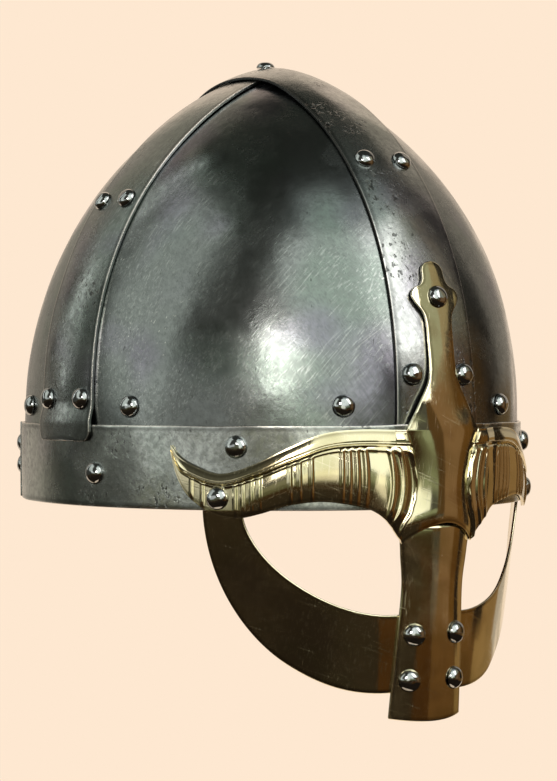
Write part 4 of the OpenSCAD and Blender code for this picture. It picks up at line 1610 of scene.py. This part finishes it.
        outside = quarter(outer_reach, self.ring_drop, 2.06)
        within = quarter(inner_reach, inner_drop, 1.76)
        root = np.linspace(0, self.ring_top, 5)[1:]
        outside = np.concatenate([outside, np.stack([0 * root + outer_reach, root], -1)])
        within = np.concatenate([within, np.stack([0 * root + inner_reach, root], -1)])
        rest = outside[:, None] + (within - outside)[:, None] * c[None, :, None]
        flat = np.concatenate([first, rest])
        u, z = flat[..., 0], flat[..., 1]
        forward = self.nasal_forward(u, z)
        return Sheet(
            worked(self.point(side.value * u, z, 0.0, forward)),
            worked(self.point(side.value * u, z, -LAYERS.steel, forward)),
        )

    def build(self, finishes: Finishes, register: Register) -> None:
        """Builds the brow plate, the nasal bar and the eye rings."""
        plate = dressed("brow_plate_chased", *self.brow_skin(), self.plate_rounding)
        register.take(plate, finishes.brass, ["brow_plate"])
        nasal = self.nasal_sheet().build("nasal_bar_raised", self.rounding)
        register.take(nasal, finishes.brass, ["nasal_bar"])
        for side in Side:
            node = f"eye_ring_{side.name.lower()}"
            ring = self.ring_sheet(side).build(f"{node}_cut", self.rounding)
            register.take(ring, finishes.brass, [node])


MASK = Mask()


@dataclass(frozen=True)
class Rivet:
    """One rivet: where its head sits, which way it faces and what it holds."""

    place: tuple[float, float, float]
    out: tuple[float, float, float]
    grip: float
    head_d: float = 8.8
    head_h: float = 3.0
    flush: bool = False


@dataclass
class Rivets:
    """Every rivet of the helmet, in the groups that the solids have."""

    shank_d: float = 3.8
    peen_d: float = 6.6
    peen_h: float = 1.3
    seat: float = 0.12
    peen_gap: float = 0.35
    washer_t: float = 0.8
    washer_gap: float = 0.65
    low_inset: float = 6.6
    high_inset: float = 8.0
    high_head_d: float = 8.4
    crown_head_d: float = 7.8
    crown_head_h: float = 2.4
    crest_high_drop: float = 42.0
    cross_high_drop: float = 55.4
    crest_low_rise: float = 19.0
    cross_low_rise: float = 10.2
    panel_rise: float = 7.2
    panel_near_a: float = 23.2
    panel_side_a: float = 70.2
    brow_rivet_a: float = 45.7
    brow_rivet_drop: float = 8.0
    side_rivet_a: float = 79.3
    side_rivet_z: float = 13.2
    joint_rivet_z: float = 13.4
    joint_pitch: float = 9.3
    finial_drop: float = 13.8
    crescent_inset: float = 7.0
    crescent_z: float = 4.7
    nasal_high: tuple[float, float] = (9.8, -47.5)
    nasal_low: tuple[float, float] = (10.6, -65.0)
    root_u: float = 8.0
    root_inset: float = 4.7
    segments: int = 36
    peen_steps: int = 8
    dome_steps: int = 17
    flatness: float = 2.8
    countersink: float = 1.2
    blow_size: float = 5.5
    blow_h: float = 0.035

    def on_bowl(
        self, angle: float, z: float, off: float, inner: float, extra: float = 0.0, **head: float
    ) -> Rivet:
        """A rivet through the bowl.

        Args:
            angle: Degrees from the front.
            z: Height above the rim.
            off: The face that the head sits on.
            inner: The face that the inner end is set against.
            extra: Further length for a washer.
            head: Sizes of the head, if they differ.

        Returns:
            The rivet.
        """
        p = BOWL.point(angle, z, off).reshape(3)
        n = BOWL.outward(angle, z, off).reshape(3)
        return Rivet(tuple(p), tuple(n), BOWL.depth(p, n, inner) + extra, **head)

    def beside_crest(self, z: float, inset: float) -> list[float]:
        """The four angles of rivets beside the crest band's edges."""
        x = float(BANDS.half(z)) - inset
        wide = (BOWL.width / 2 + LAYERS.one) * float(BOWL.side_part(z, LAYERS.one))
        a = math.degrees(math.asin(x / wide))
        return [-a, a, a - 180, 180 - a]

    def beside_cross(self, z: float, inset: float) -> list[float]:
        """The four angles of rivets beside the cross band's edges."""
        y = float(BANDS.half(z)) - inset
        found = []
        for side in (-1, 1):
            for front in (True, False):
                long = (BOWL.length / 2 + LAYERS.one) * float(
                    BOWL.end_part(z, LAYERS.one, front)
                )
                a = math.degrees(math.acos(y / long))
                found.append(side * (a if front else 180 - a))
        return found

    def on_mask(
        self, u: float, z: float, off: float, forward: Callable[[Any, Any], Any], grip: float,
        **rest: Any,
    ) -> Rivet:
        """A rivet through the mask at a distance from the centre line and a height."""

        def at(du: float, dz: float) -> np.ndarray:
            """A point of the mask near the rivet."""
            return MASK.point(u + du, z + dz, off, forward(u + du, z + dz)).reshape(3)

        n = unit(np.cross(at(0.1, 0) - at(-0.1, 0), at(0, 0.1) - at(0, -0.1)))
        return Rivet(tuple(at(0, 0)), tuple(n), grip, **rest)

    def bowl_groups(self) -> dict[str, list[Rivet]]:
        """The rivets through the bowl and its bands, by the node that they stand for."""
        one, brow, bare = LAYERS.one, BOWL.brow_h, -LAYERS.steel
        washer = self.washer_t + self.washer_gap
        crest_hi, cross_hi = BOWL.height - self.crest_high_drop, BOWL.height - self.cross_high_drop
        crest_lo, cross_lo = brow + self.crest_low_rise, brow + self.cross_low_rise
        crown_z = BOWL.height + (one + BANDS.crown_lift + BANDS.crown_gap + one)
        peen_side, up = np.array([self.peen_d / 2, 0.0, brow]), np.array([0.0, 0.0, 1.0])
        lifted = np.float64(LAYERS.lap + BANDS.crown_lift)
        under = BOWL.hit(peen_side, up, lifted)[2] - BANDS.crown_gap
        crown = Rivet(
            (0, 0, crown_z), (0, 0, 1), crown_z - under, self.crown_head_d, self.crown_head_h
        )
        near, far = self.panel_near_a, self.panel_side_a
        brow_z, rear_a = brow - self.brow_rivet_drop, 180 - self.brow_rivet_a
        brow_places = [(side * self.brow_rivet_a, brow_z) for side in (-1, 1)]
        brow_places += [(side * self.side_rivet_a, self.side_rivet_z) for side in (-1, 1)]
        return {
            "crown_rivet": [crown],
            "crest_upper_rivets": [
                self.on_bowl(a, crest_hi, one, bare, head_d=self.high_head_d)
                for a in self.beside_crest(crest_hi, self.high_inset)
            ],
            "cross_upper_rivets": [
                self.on_bowl(a, cross_hi, one, bare, head_d=self.high_head_d)
                for a in self.beside_cross(cross_hi, self.high_inset)
            ],
            "crest_lower_rivets": [
                self.on_bowl(a, crest_lo, one, LAYERS.strap_in, washer)
                for a in self.beside_crest(crest_lo, self.low_inset)
            ],
            "cross_lower_rivets": [
                self.on_bowl(a, cross_lo, one, LAYERS.strap_in, washer)
                for a in self.beside_cross(cross_lo, self.low_inset)
            ],
            "panel_rivets": [
                self.on_bowl(side * a, brow + self.panel_rise, 0.0, LAYERS.liner_in, washer)
                for side in (-1, 1)
                for a in (near, far, 180 - far, 180 - near)
            ],
            "brow_band_rivets": [
                self.on_bowl(a, z, one, bare) for a, z in [*brow_places, (rear_a, brow_z)]
            ],
            "joint_rivets": [
                self.on_bowl(-BrowBand.joint_angle, z, 2 * one, bare)
                for z in (self.joint_rivet_z, self.joint_rivet_z + self.joint_pitch)
            ],
        }

    def mask_groups(self) -> dict[str, list[Rivet]]:
        """The rivets through the mask, by the node that they stand for."""
        one, steel, brass = LAYERS.one, LAYERS.steel, LAYERS.brass
        plate_out = one + LAYERS.lap + brass
        through_tip, through_root = plate_out + steel, 2 * one + steel
        finial_z = MASK.finial_top - self.finial_drop
        finial_off = float(MASK.plate_in(0.0, finial_z)) + brass
        finial = self.on_mask(0.0, finial_z, finial_off, MASK.bulge, 0.0)
        grip = BOWL.depth(np.array(finial.place), np.array(finial.out), -steel) + self.seat
        crescent_u = MASK.reach - MASK.tip_past_ring - self.crescent_inset
        root_z = MASK.root_top - self.root_inset

        def level(u: float, z: float) -> float:
            """No bulge, for rivets beside the mask's ridge and behind it."""
            return 0.0

        return {
            "crescent_rivets": [
                self.on_mask(side * crescent_u, self.crescent_z, plate_out, level, through_tip)
                for side in (-1, 1)
            ],
            "finial_rivet": [Rivet(finial.place, finial.out, grip)],
            "nasal_rivets": [
                self.on_mask(side * u, z, one, MASK.nasal_forward, one + steel)
                for side in (-1, 1)
                for u, z in (self.nasal_high, self.nasal_low)
            ],
            "root_rivets": [
                self.on_mask(side * self.root_u, root_z, 2 * one, level, through_root, flush=True)
                for side in (-1, 1)
            ],
        }

    def cap(self, d: float, h: float, steps: int) -> list[tuple[float, float]]:
        """The profile of a domed end, from its pole to its rim."""
        r = (d * d / 4 + h * h) / (2 * h)
        top = math.asin(min(1.0, d / 2 / r))
        return [
            (r * math.sin(top * k / steps), h - r + r * math.cos(top * k / steps))
            for k in range(steps + 1)
        ]

    def profile(self, rivet: Rivet) -> list[tuple[float, float]]:
        """A rivet's outline from the top of its head to the tip of its inner end."""
        low = -rivet.grip - self.peen_gap
        r = self.shank_d / 2
        end = self.cap(self.peen_d, self.peen_h, self.peen_steps)
        peen = [(x, low - z) for x, z in reversed(end)]
        if rivet.flush:
            head = [(0, 0), (r + self.countersink, 0), (r, -self.countersink)]
        else:
            rim = rivet.head_d / 2
            part = np.sin(np.linspace(0, math.pi / 2, self.dome_steps))
            dome = [(rim * x, rivet.head_h * (1 - x**self.flatness) ** 0.6) for x in part]
            head = [(x, z + self.seat) for x, z in dome[:-1]]
            head += [(rim - 0.03, self.seat + 0.16), (rim - 0.12, self.seat), (r, self.seat)]
        return head + [(r, low), (self.peen_d / 2 - 0.1, low)] + peen

    def mesh_of(self, rivet: Rivet, seed: int) -> tuple[np.ndarray, list[tuple[int, ...]]]:
        """One rivet's points and faces, its head dressed by a few hammer blows.

        Args:
            rivet: The rivet.
            seed: Fixes where the blows fell.

        Returns:
            Points and faces.
        """
        outline = self.profile(rivet)
        turn = 2 * math.pi * np.arange(self.segments) / self.segments
        rows = [
            np.stack([r * np.cos(turn), r * np.sin(turn), np.full(self.segments, z)], -1)
            for r, z in outline[1:-1]
        ]
        poles = [np.array([[0, 0, z]]) for _, z in (outline[0], outline[-1])]
        local = np.concatenate([poles[0], *rows, poles[1]])
        if not rivet.flush:
            blows = Ripple(100 + seed, self.blow_size, self.blow_h, waves=10)
            high = ramp(local[:, 2], 0.5, 1.6)
            local[:, 2] += blows(local) * high
            local[:, 0] += 0.5 * blows(local + 31.0) * high
        n = len(local)
        faces: list[tuple[int, ...]] = []
        for k in range(self.segments):
            nxt = (k + 1) % self.segments
            faces.append((0, 1 + k, 1 + nxt))
            for r in range(len(rows) - 1):
                a, b = 1 + r * self.segments, 1 + (r + 1) * self.segments
                faces.append((a + k, b + k, b + nxt, a + nxt))
            last = 1 + (len(rows) - 1) * self.segments
            faces.append((n - 1, last + nxt, last + k))
        z_axis = np.array(rivet.out, float)
        x_axis = unit(np.cross([0.3, 0.2, 1.0] if abs(z_axis[2]) < 0.9 else [1.0, 0, 0], z_axis))
        y_axis = np.cross(z_axis, x_axis)
        base = worked(np.array(rivet.place, float)[None])[0]
        return base + local @ np.stack([x_axis, y_axis, z_axis]), faces

    def build(self, finishes: Finishes, register: Register) -> None:
        """Builds every group of rivets and dresses the washers."""
        seed = 0
        for node, group in (self.bowl_groups() | self.mask_groups()).items():
            points: list[np.ndarray] = []
            faces: list[tuple[int, ...]] = []
            count = 0
            for rivet in group:
                seed += 1
                p, f = self.mesh_of(rivet, seed)
                faces += [tuple(k + count for k in face) for face in f]
                points.append(p)
                count += len(p)
            every = np.concatenate(points)
            obj = add_mesh(f"{node}_set", every, faces, turn=volume_of(every, faces) < 0)
            sharp = obj.modifiers.new("crisp_rims", "EDGE_SPLIT")
            sharp.split_angle = math.radians(RIM_DEGREES)
            register.take(obj, finishes.rivets, [node])
        washers = frame["nodes"]["liner_washers"]
        washers.data.materials.clear()
        washers.data.materials.append(finishes.rivets)


@dataclass
class Liner:
    """The leather headband and the two crossed head straps."""

    width: float = 28.0
    tuck: float = 2.0
    strap_w: float = 35.0
    hang: float = 24.0
    slit: float = 1.6
    band_grid: tuple[int, int] = (20, 420)
    strap_grid: tuple[int, int] = (170, 24)
    softness: float = 0.6
    rounding: float = 0.6

    def headband(self) -> Sheet:
        """The headband, a strip round the inside of the bowl."""
        low = BOWL.brow_h - self.tuck
        rows, columns = self.band_grid
        z = np.linspace(low, low + self.width, rows)[:, None]
        turn = 180 - self.slit / (BOWL.length / 2) * 90 / math.pi
        a = np.linspace(-turn, turn, columns)[None, :]
        soft = Ripple(seed=31, size=28.0, height=0.10)

        def face(off: float) -> np.ndarray:
            """The headband's face at a distance outside the panels."""
            p = BOWL.point(a, z, off)
            return worked(p, self.softness) + unit(p) * soft(p)[..., None]

        outer = -LAYERS.steel - LAYERS.leather_gap
        return Sheet(face(outer), face(LAYERS.liner_in))

    def strap(self, across: bool, under: float) -> Sheet:
        """A head strap that hangs clear of the crown.

        Args:
            across: Whether it runs from side to side.
            under: How far it passes below the other strap.

        Returns:
            The strap's sheet.
        """
        outer = LAYERS.liner_in - LAYERS.leather_gap
        free = BOWL.brow_h - self.tuck + self.width
        return BANDS.strip(
            across,
            np.empty(0),
            *self.strap_grid,
            LAYERS.leather,
            lambda z: np.full_like(z, self.strap_w / 2),
            lambda mid: outer
            - (self.hang + under)
            * ramp(mid[..., 2], free, BOWL.height - BANDS.crown_full),
        )

    def build(self, finishes: Finishes, register: Register) -> None:
        """Builds the liner."""
        under = LAYERS.leather + 2 * LAYERS.leather_gap
        for node, sheet in (
            ("liner_band", self.headband()),
            ("liner_long_strap", self.strap(False, 0.0)),
            ("liner_cross_strap", self.strap(True, under)),
        ):
            obj = sheet.build(f"{node}_hide", self.rounding)
            register.take(obj, finishes.leather, [node])


@dataclass(frozen=True)
class SoftBox:
    """A soft box, by the part of the surroundings that it fills as seen from the helmet.

    Azimuths and elevations are in degrees, with azimuth 0 in front of the wearer and 90 on
    the wearer's left. A radiance of 1 looks white.
    """

    name: str
    azimuths: tuple[float, float]
    elevations: tuple[float, float]
    radiance: float
    tint: str
    distance: float = 1.2


@dataclass(frozen=True)
class Flag:
    """A glowing sheet that only reflections see, on an upright wall or flat at a level: a painted
    reflection of the room round the helmet.

    Azimuths are as those of the soft boxes. The span is in metres: heights on the wall, or
    distances from the middle where the sheet lies flat.
    """

    name: str
    azimuths: tuple[float, float]
    span: tuple[float, float]
    tint: str
    flat_at: float | None = None


# Where the glowing sheets that paint reflections lie on the floor, in metres, and the heights of
# the upright ones from floor to ceiling.
REFLECTION_SHEET_FLOOR = -0.297
WALL = (-0.29, 2.0)


@dataclass
class Studio:
    """The photographer's table: pale floor, soft boxes, glowing sheets that paint the reflections
    of a dim room, and camera, in metres.
    """

    backdrop: str = "fee8d1"
    even_light: str = "f3ede6"
    even_strength: float = 0.7
    floor_z: float = -0.30
    floor_radius: float = 6.0
    floor_grid: tuple[int, int] = (24, 72)
    floor_fade: tuple[float, float] = (0.45, 1.1)
    wall_radius: float = 1.5
    flag_step: float = 0.004
    flag_grid: tuple[int, int] = (9, 61)
    centre: tuple[float, float, float] = (0.0, 0.0, 0.05)
    camera_at: tuple[float, float, float] = (-0.552347, -0.798281, 0.047737)
    camera_right: tuple[float, float, float] = (0.81945713, -0.57312367, -0.00439087)
    camera_up: tuple[float, float, float] = (0.00530917, -0.00007009, 0.99998590)
    camera_back: tuple[float, float, float] = (-0.5731159, -0.81946889, 0.00298537)
    focal_pixels: float = 2299.26
    picture_pixels: float = 781.0
    sensor_mm: float = 36.0
    boxes: tuple[SoftBox, ...] = (
        SoftBox("soft_box_key", (4, 31), (12, 50), 3.1, "fffdf8"),
        SoftBox("soft_box_key_top", (4, 46), (50, 64), 0.5, "f4fbff"),
        SoftBox("soft_box_broad", (-42, 4), (0.5, 53), 1.40, "f9fff7"),
        SoftBox("soft_box_broad_top", (-34, 4), (53, 68), 0.75, "f2fff8"),
        SoftBox("soft_box_small", (-55, -40), (7, 20), 11.0, "fffaf2"),
        SoftBox("soft_box_low", (-38, -17), (-8, 0.5), 0.90, "fff9ea"),
        SoftBox("soft_box_left", (-130, -91), (1, 56), 0.90, "f8fff5"),
        SoftBox("soft_box_slit", (-150, -144), (2, 58), 1.6, "fafff8"),
    )
    # Painted reflections: sheets that glow in their own dark or muted tints and are seen by
    # reflections only, standing in for a dim room round the table.
    flags: tuple[Flag, ...] = (
        Flag("painted_reflection_front_wall", (-150, 40), WALL, "4f5049"),
        Flag("painted_reflection_side_skirt", (-108, -64), (-0.04, 0.24), "dcded8"),
        Flag("painted_reflection_grey_skirt", (-64, -42), (-0.05, 0.10), "7c7c64"),
        Flag("painted_reflection_olive_skirt", (-108, 13), (-0.17, -0.05), "626248"),
        Flag("painted_reflection_pale_skirt", (-42, -14), (-0.05, 0.05), "c4cab0"),
        Flag("painted_reflection_green_skirt", (-14, 13), (-0.08, 0.05), "98a284"),
        Flag("painted_reflection_low_skirt", (-150, 14), (-0.29, -0.17), "3b2b18"),
        Flag("painted_reflection_dark_brown_wall", (13, 27), (-0.17, 0.39), "5a4328"),
        Flag("painted_reflection_brown_wall", (27, 58), (-0.29, 0.395), "86694a"),
        Flag("painted_reflection_low_wall", (58, 74), (-0.29, 0.37), "694a26"),
        Flag("painted_reflection_dark_wall", (55, 86), (0.37, 2.0), "383531"),
        Flag("painted_reflection_front_screen", (31, 51), (0.395, 1.99), "a9ad98"),
        Flag("painted_reflection_tan_screen", (51, 64), (0.395, 1.5), "a09478"),
        Flag("painted_reflection_dark_skirt", (74, 86), (-0.29, 0.37), "2c241c"),
        Flag("painted_reflection_left_wall", (86, 118), WALL, "b5a999"),
        Flag("painted_reflection_left_skirt", (86, 110), (-0.29, 0.10), "8e7048"),
        Flag("painted_reflection_rear_wall", (165, 210), WALL, "b5ab9c"),
        Flag("painted_reflection_rear_edge", (199, 210), WALL, "57544b"),
        Flag("painted_reflection_ceiling", (-180, 180), (0.0, 1.5), "3c3e38", 1.98),
        Flag("painted_reflection_near_floor", (-150, 95), (0.16, 0.85), "272019", REFLECTION_SHEET_FLOOR),
        Flag("painted_reflection_front_floor", (-150, -6), (0.85, 1.5), "332b20", REFLECTION_SHEET_FLOOR),
        Flag("painted_reflection_middle_floor", (-6, 20), (0.85, 1.5), "4b3117", REFLECTION_SHEET_FLOOR),
        Flag("painted_reflection_brown_floor", (20, 80), (0.85, 1.5), "674a2a", REFLECTION_SHEET_FLOOR),
        Flag("painted_reflection_left_floor", (80, 118), (0.85, 1.5), "96794f", REFLECTION_SHEET_FLOOR),
    )

    def soft_box(self, box: SoftBox) -> None:
        """Adds a soft box that faces the helmet.

        Args:
            box: The soft box.
        """
        (a0, a1), (e0, e1) = box.azimuths, box.elevations
        a, e = math.radians((a0 + a1) / 2), math.radians((e0 + e1) / 2)
        way = Vector((math.sin(a) * math.cos(e), -math.cos(a) * math.cos(e), math.sin(e)))
        lamp = bpy.data.lights.new(box.name, "AREA")
        lamp.shape = "RECTANGLE"
        lamp.size = 2 * box.distance * math.tan(math.radians(a1 - a0) / 2) * math.cos(e)
        lamp.size_y = 2 * box.distance * math.tan(math.radians(e1 - e0) / 2)
        lamp.energy = box.radiance * math.pi * lamp.size * lamp.size_y
        lamp.color = colour(box.tint)[:3]
        obj = bpy.data.objects.new(box.name, lamp)
        obj.location = Vector(self.centre) + way * box.distance
        obj.rotation_euler = (-way).to_track_quat("-Z", "Y").to_euler()
        obj.visible_camera = False
        bpy.context.scene.collection.objects.link(obj)

    def hang(self, flag: Flag, in_front: float) -> None:
        """Hangs or lays a glowing sheet, which shows as its own even colour in reflections only: a
        painted reflection.

        Args:
            flag: The sheet.
            in_front: How far an upright sheet stands in front of the first, so that no two
                coincide.
        """
        m, n = self.flag_grid
        turns = np.radians(np.linspace(*flag.azimuths, n))
        span, a = np.meshgrid(np.linspace(*flag.span, m), turns, indexing="ij")
        if flag.flat_at is None:
            r, level = np.full_like(span, self.wall_radius - in_front), span
        else:
            r, level = span, np.full_like(span, flag.flat_at)
        points = np.stack([r * np.sin(a), -r * np.cos(a), level], -1).reshape(-1, 3)
        faces = [
            (j * n + i, j * n + i + 1, (j + 1) * n + i + 1, (j + 1) * n + i)
            for j in range(m - 1)
            for i in range(n - 1)
        ]
        obj = add_mesh(flag.name, points / MM, faces)
        material = bpy.data.materials.new(flag.name)
        tree = blank_tree(material)
        # The sheet glows with its tint though it is no lamp: painted reflection.
        glow = add_node(tree, "Emission", {"Color": flag.tint, "Strength": 1.0})
        add_node(tree, "OutputMaterial", {"Surface": glow})
        obj.data.materials.append(material)
        obj.visible_camera = False
        obj.visible_shadow = False
        obj.visible_diffuse = False

    def floor(self) -> None:
        """Lays the pale floor, which keeps the shadow and fades into the backdrop."""
        rings, spokes = self.floor_grid
        radii = self.floor_radius * (np.linspace(0, 1, rings + 1)[1:] ** 2)
        points = [(0.0, 0.0, self.floor_z)]
        for r in radii:
            for k in range(spokes):
                a = 2 * math.pi * k / spokes
                points.append((r * math.cos(a), r * math.sin(a), self.floor_z))
        faces: list[tuple[int, ...]] = [
            (0, 1 + k, 1 + (k + 1) % spokes) for k in range(spokes)
        ]
        for j in range(rings - 1):
            for k in range(spokes):
                a, b = 1 + j * spokes + k, 1 + j * spokes + (k + 1) % spokes
                faces.append((a, a + spokes, b + spokes, b))
        obj = add_mesh("studio_floor", np.array(points) / MM, faces)
        material = bpy.data.materials.new("matt_paper_sweep")
        tree = blank_tree(material)
        place = add_node(tree, "NewGeometry", out="Position")
        away = add_node(tree, "VectorMath", {0: place}, "Value", operation="LENGTH")
        part = product(tree, stepped(tree, away, *self.floor_fade), self.seen_rays(tree))
        paper = add_node(tree, "BsdfDiffuse", {"Color": self.backdrop})
        glow = add_node(tree, "Emission", {"Color": self.backdrop, "Strength": 1.0})
        mix = add_node(tree, "MixShader", {0: part, 1: paper, 2: glow})
        add_node(tree, "OutputMaterial", {"Surface": mix})
        obj.data.materials.append(material)

    @staticmethod
    def seen_rays(tree: bpy.types.NodeTree) -> bpy.types.NodeSocket:
        """1 for rays that see the backdrop itself: camera, glossy and transmission rays."""
        seen = add_node(tree, "LightPath", out="Is Camera Ray")
        for name in ("Is Glossy Ray", "Is Transmission Ray"):
            also = add_node(tree, "LightPath", out=name)
            seen = add_node(tree, "Math", {0: seen, 1: also}, operation="MAXIMUM")
        return seen

    def world(self) -> None:
        """Sets the pale backdrop and a weaker even light from all round."""
        world = bpy.data.worlds.new("studio")
        tree = blank_tree(world)
        light: dict[str | int, Any] = {"Color": self.even_light, "Strength": self.even_strength}
        even = add_node(tree, "Background", light)
        pale = add_node(tree, "Background", {"Color": self.backdrop, "Strength": 1.0})
        mix = add_node(tree, "MixShader", {0: self.seen_rays(tree), 1: even, 2: pale})
        add_node(tree, "OutputWorld", {"Surface": mix})
        bpy.context.scene.world = world

    def camera(self) -> None:
        """Sets the camera at the photograph's viewpoint, level with the brow.

        Its place, its turn and its focal length in pixels were fitted to the photograph.
        """
        data = bpy.data.cameras.new("camera")
        data.sensor_fit = "AUTO"
        data.sensor_width = self.sensor_mm
        data.lens = self.focal_pixels * self.sensor_mm / self.picture_pixels
        data.clip_start, data.clip_end = 0.01, 50.0
        obj = bpy.data.objects.new("camera", data)
        turn = Matrix((self.camera_right, self.camera_up, self.camera_back)).transposed()
        obj.matrix_world = Matrix.Translation(Vector(self.camera_at)) @ turn.to_4x4()
        bpy.context.scene.collection.objects.link(obj)
        bpy.context.scene.camera = obj

    def build(self) -> None:
        """Sets up the whole studio."""
        bpy.context.scene.view_settings.view_transform = "Standard"
        self.world()
        self.floor()
        for k, flag in enumerate(self.flags):
            self.hang(flag, self.flag_step * k)
        for box in self.boxes:
            self.soft_box(box)
        self.camera()


def main() -> None:
    """Builds the helmet and its studio."""
    logging.basicConfig(level=logging.INFO, format="%(name)s: %(message)s")
    body = next(iter(frame["bodies"]))
    register = Register(body)
    finishes = Finishes.make()
    Studio().build()
    for part in (Panels(), BANDS, BrowBand(), MASK, Rivets(), Liner()):
        part.build(finishes, register)
        LOG.info("%s done, %d pieces", type(part).__name__, register.count)


if __name__ == "__main__":
    main()
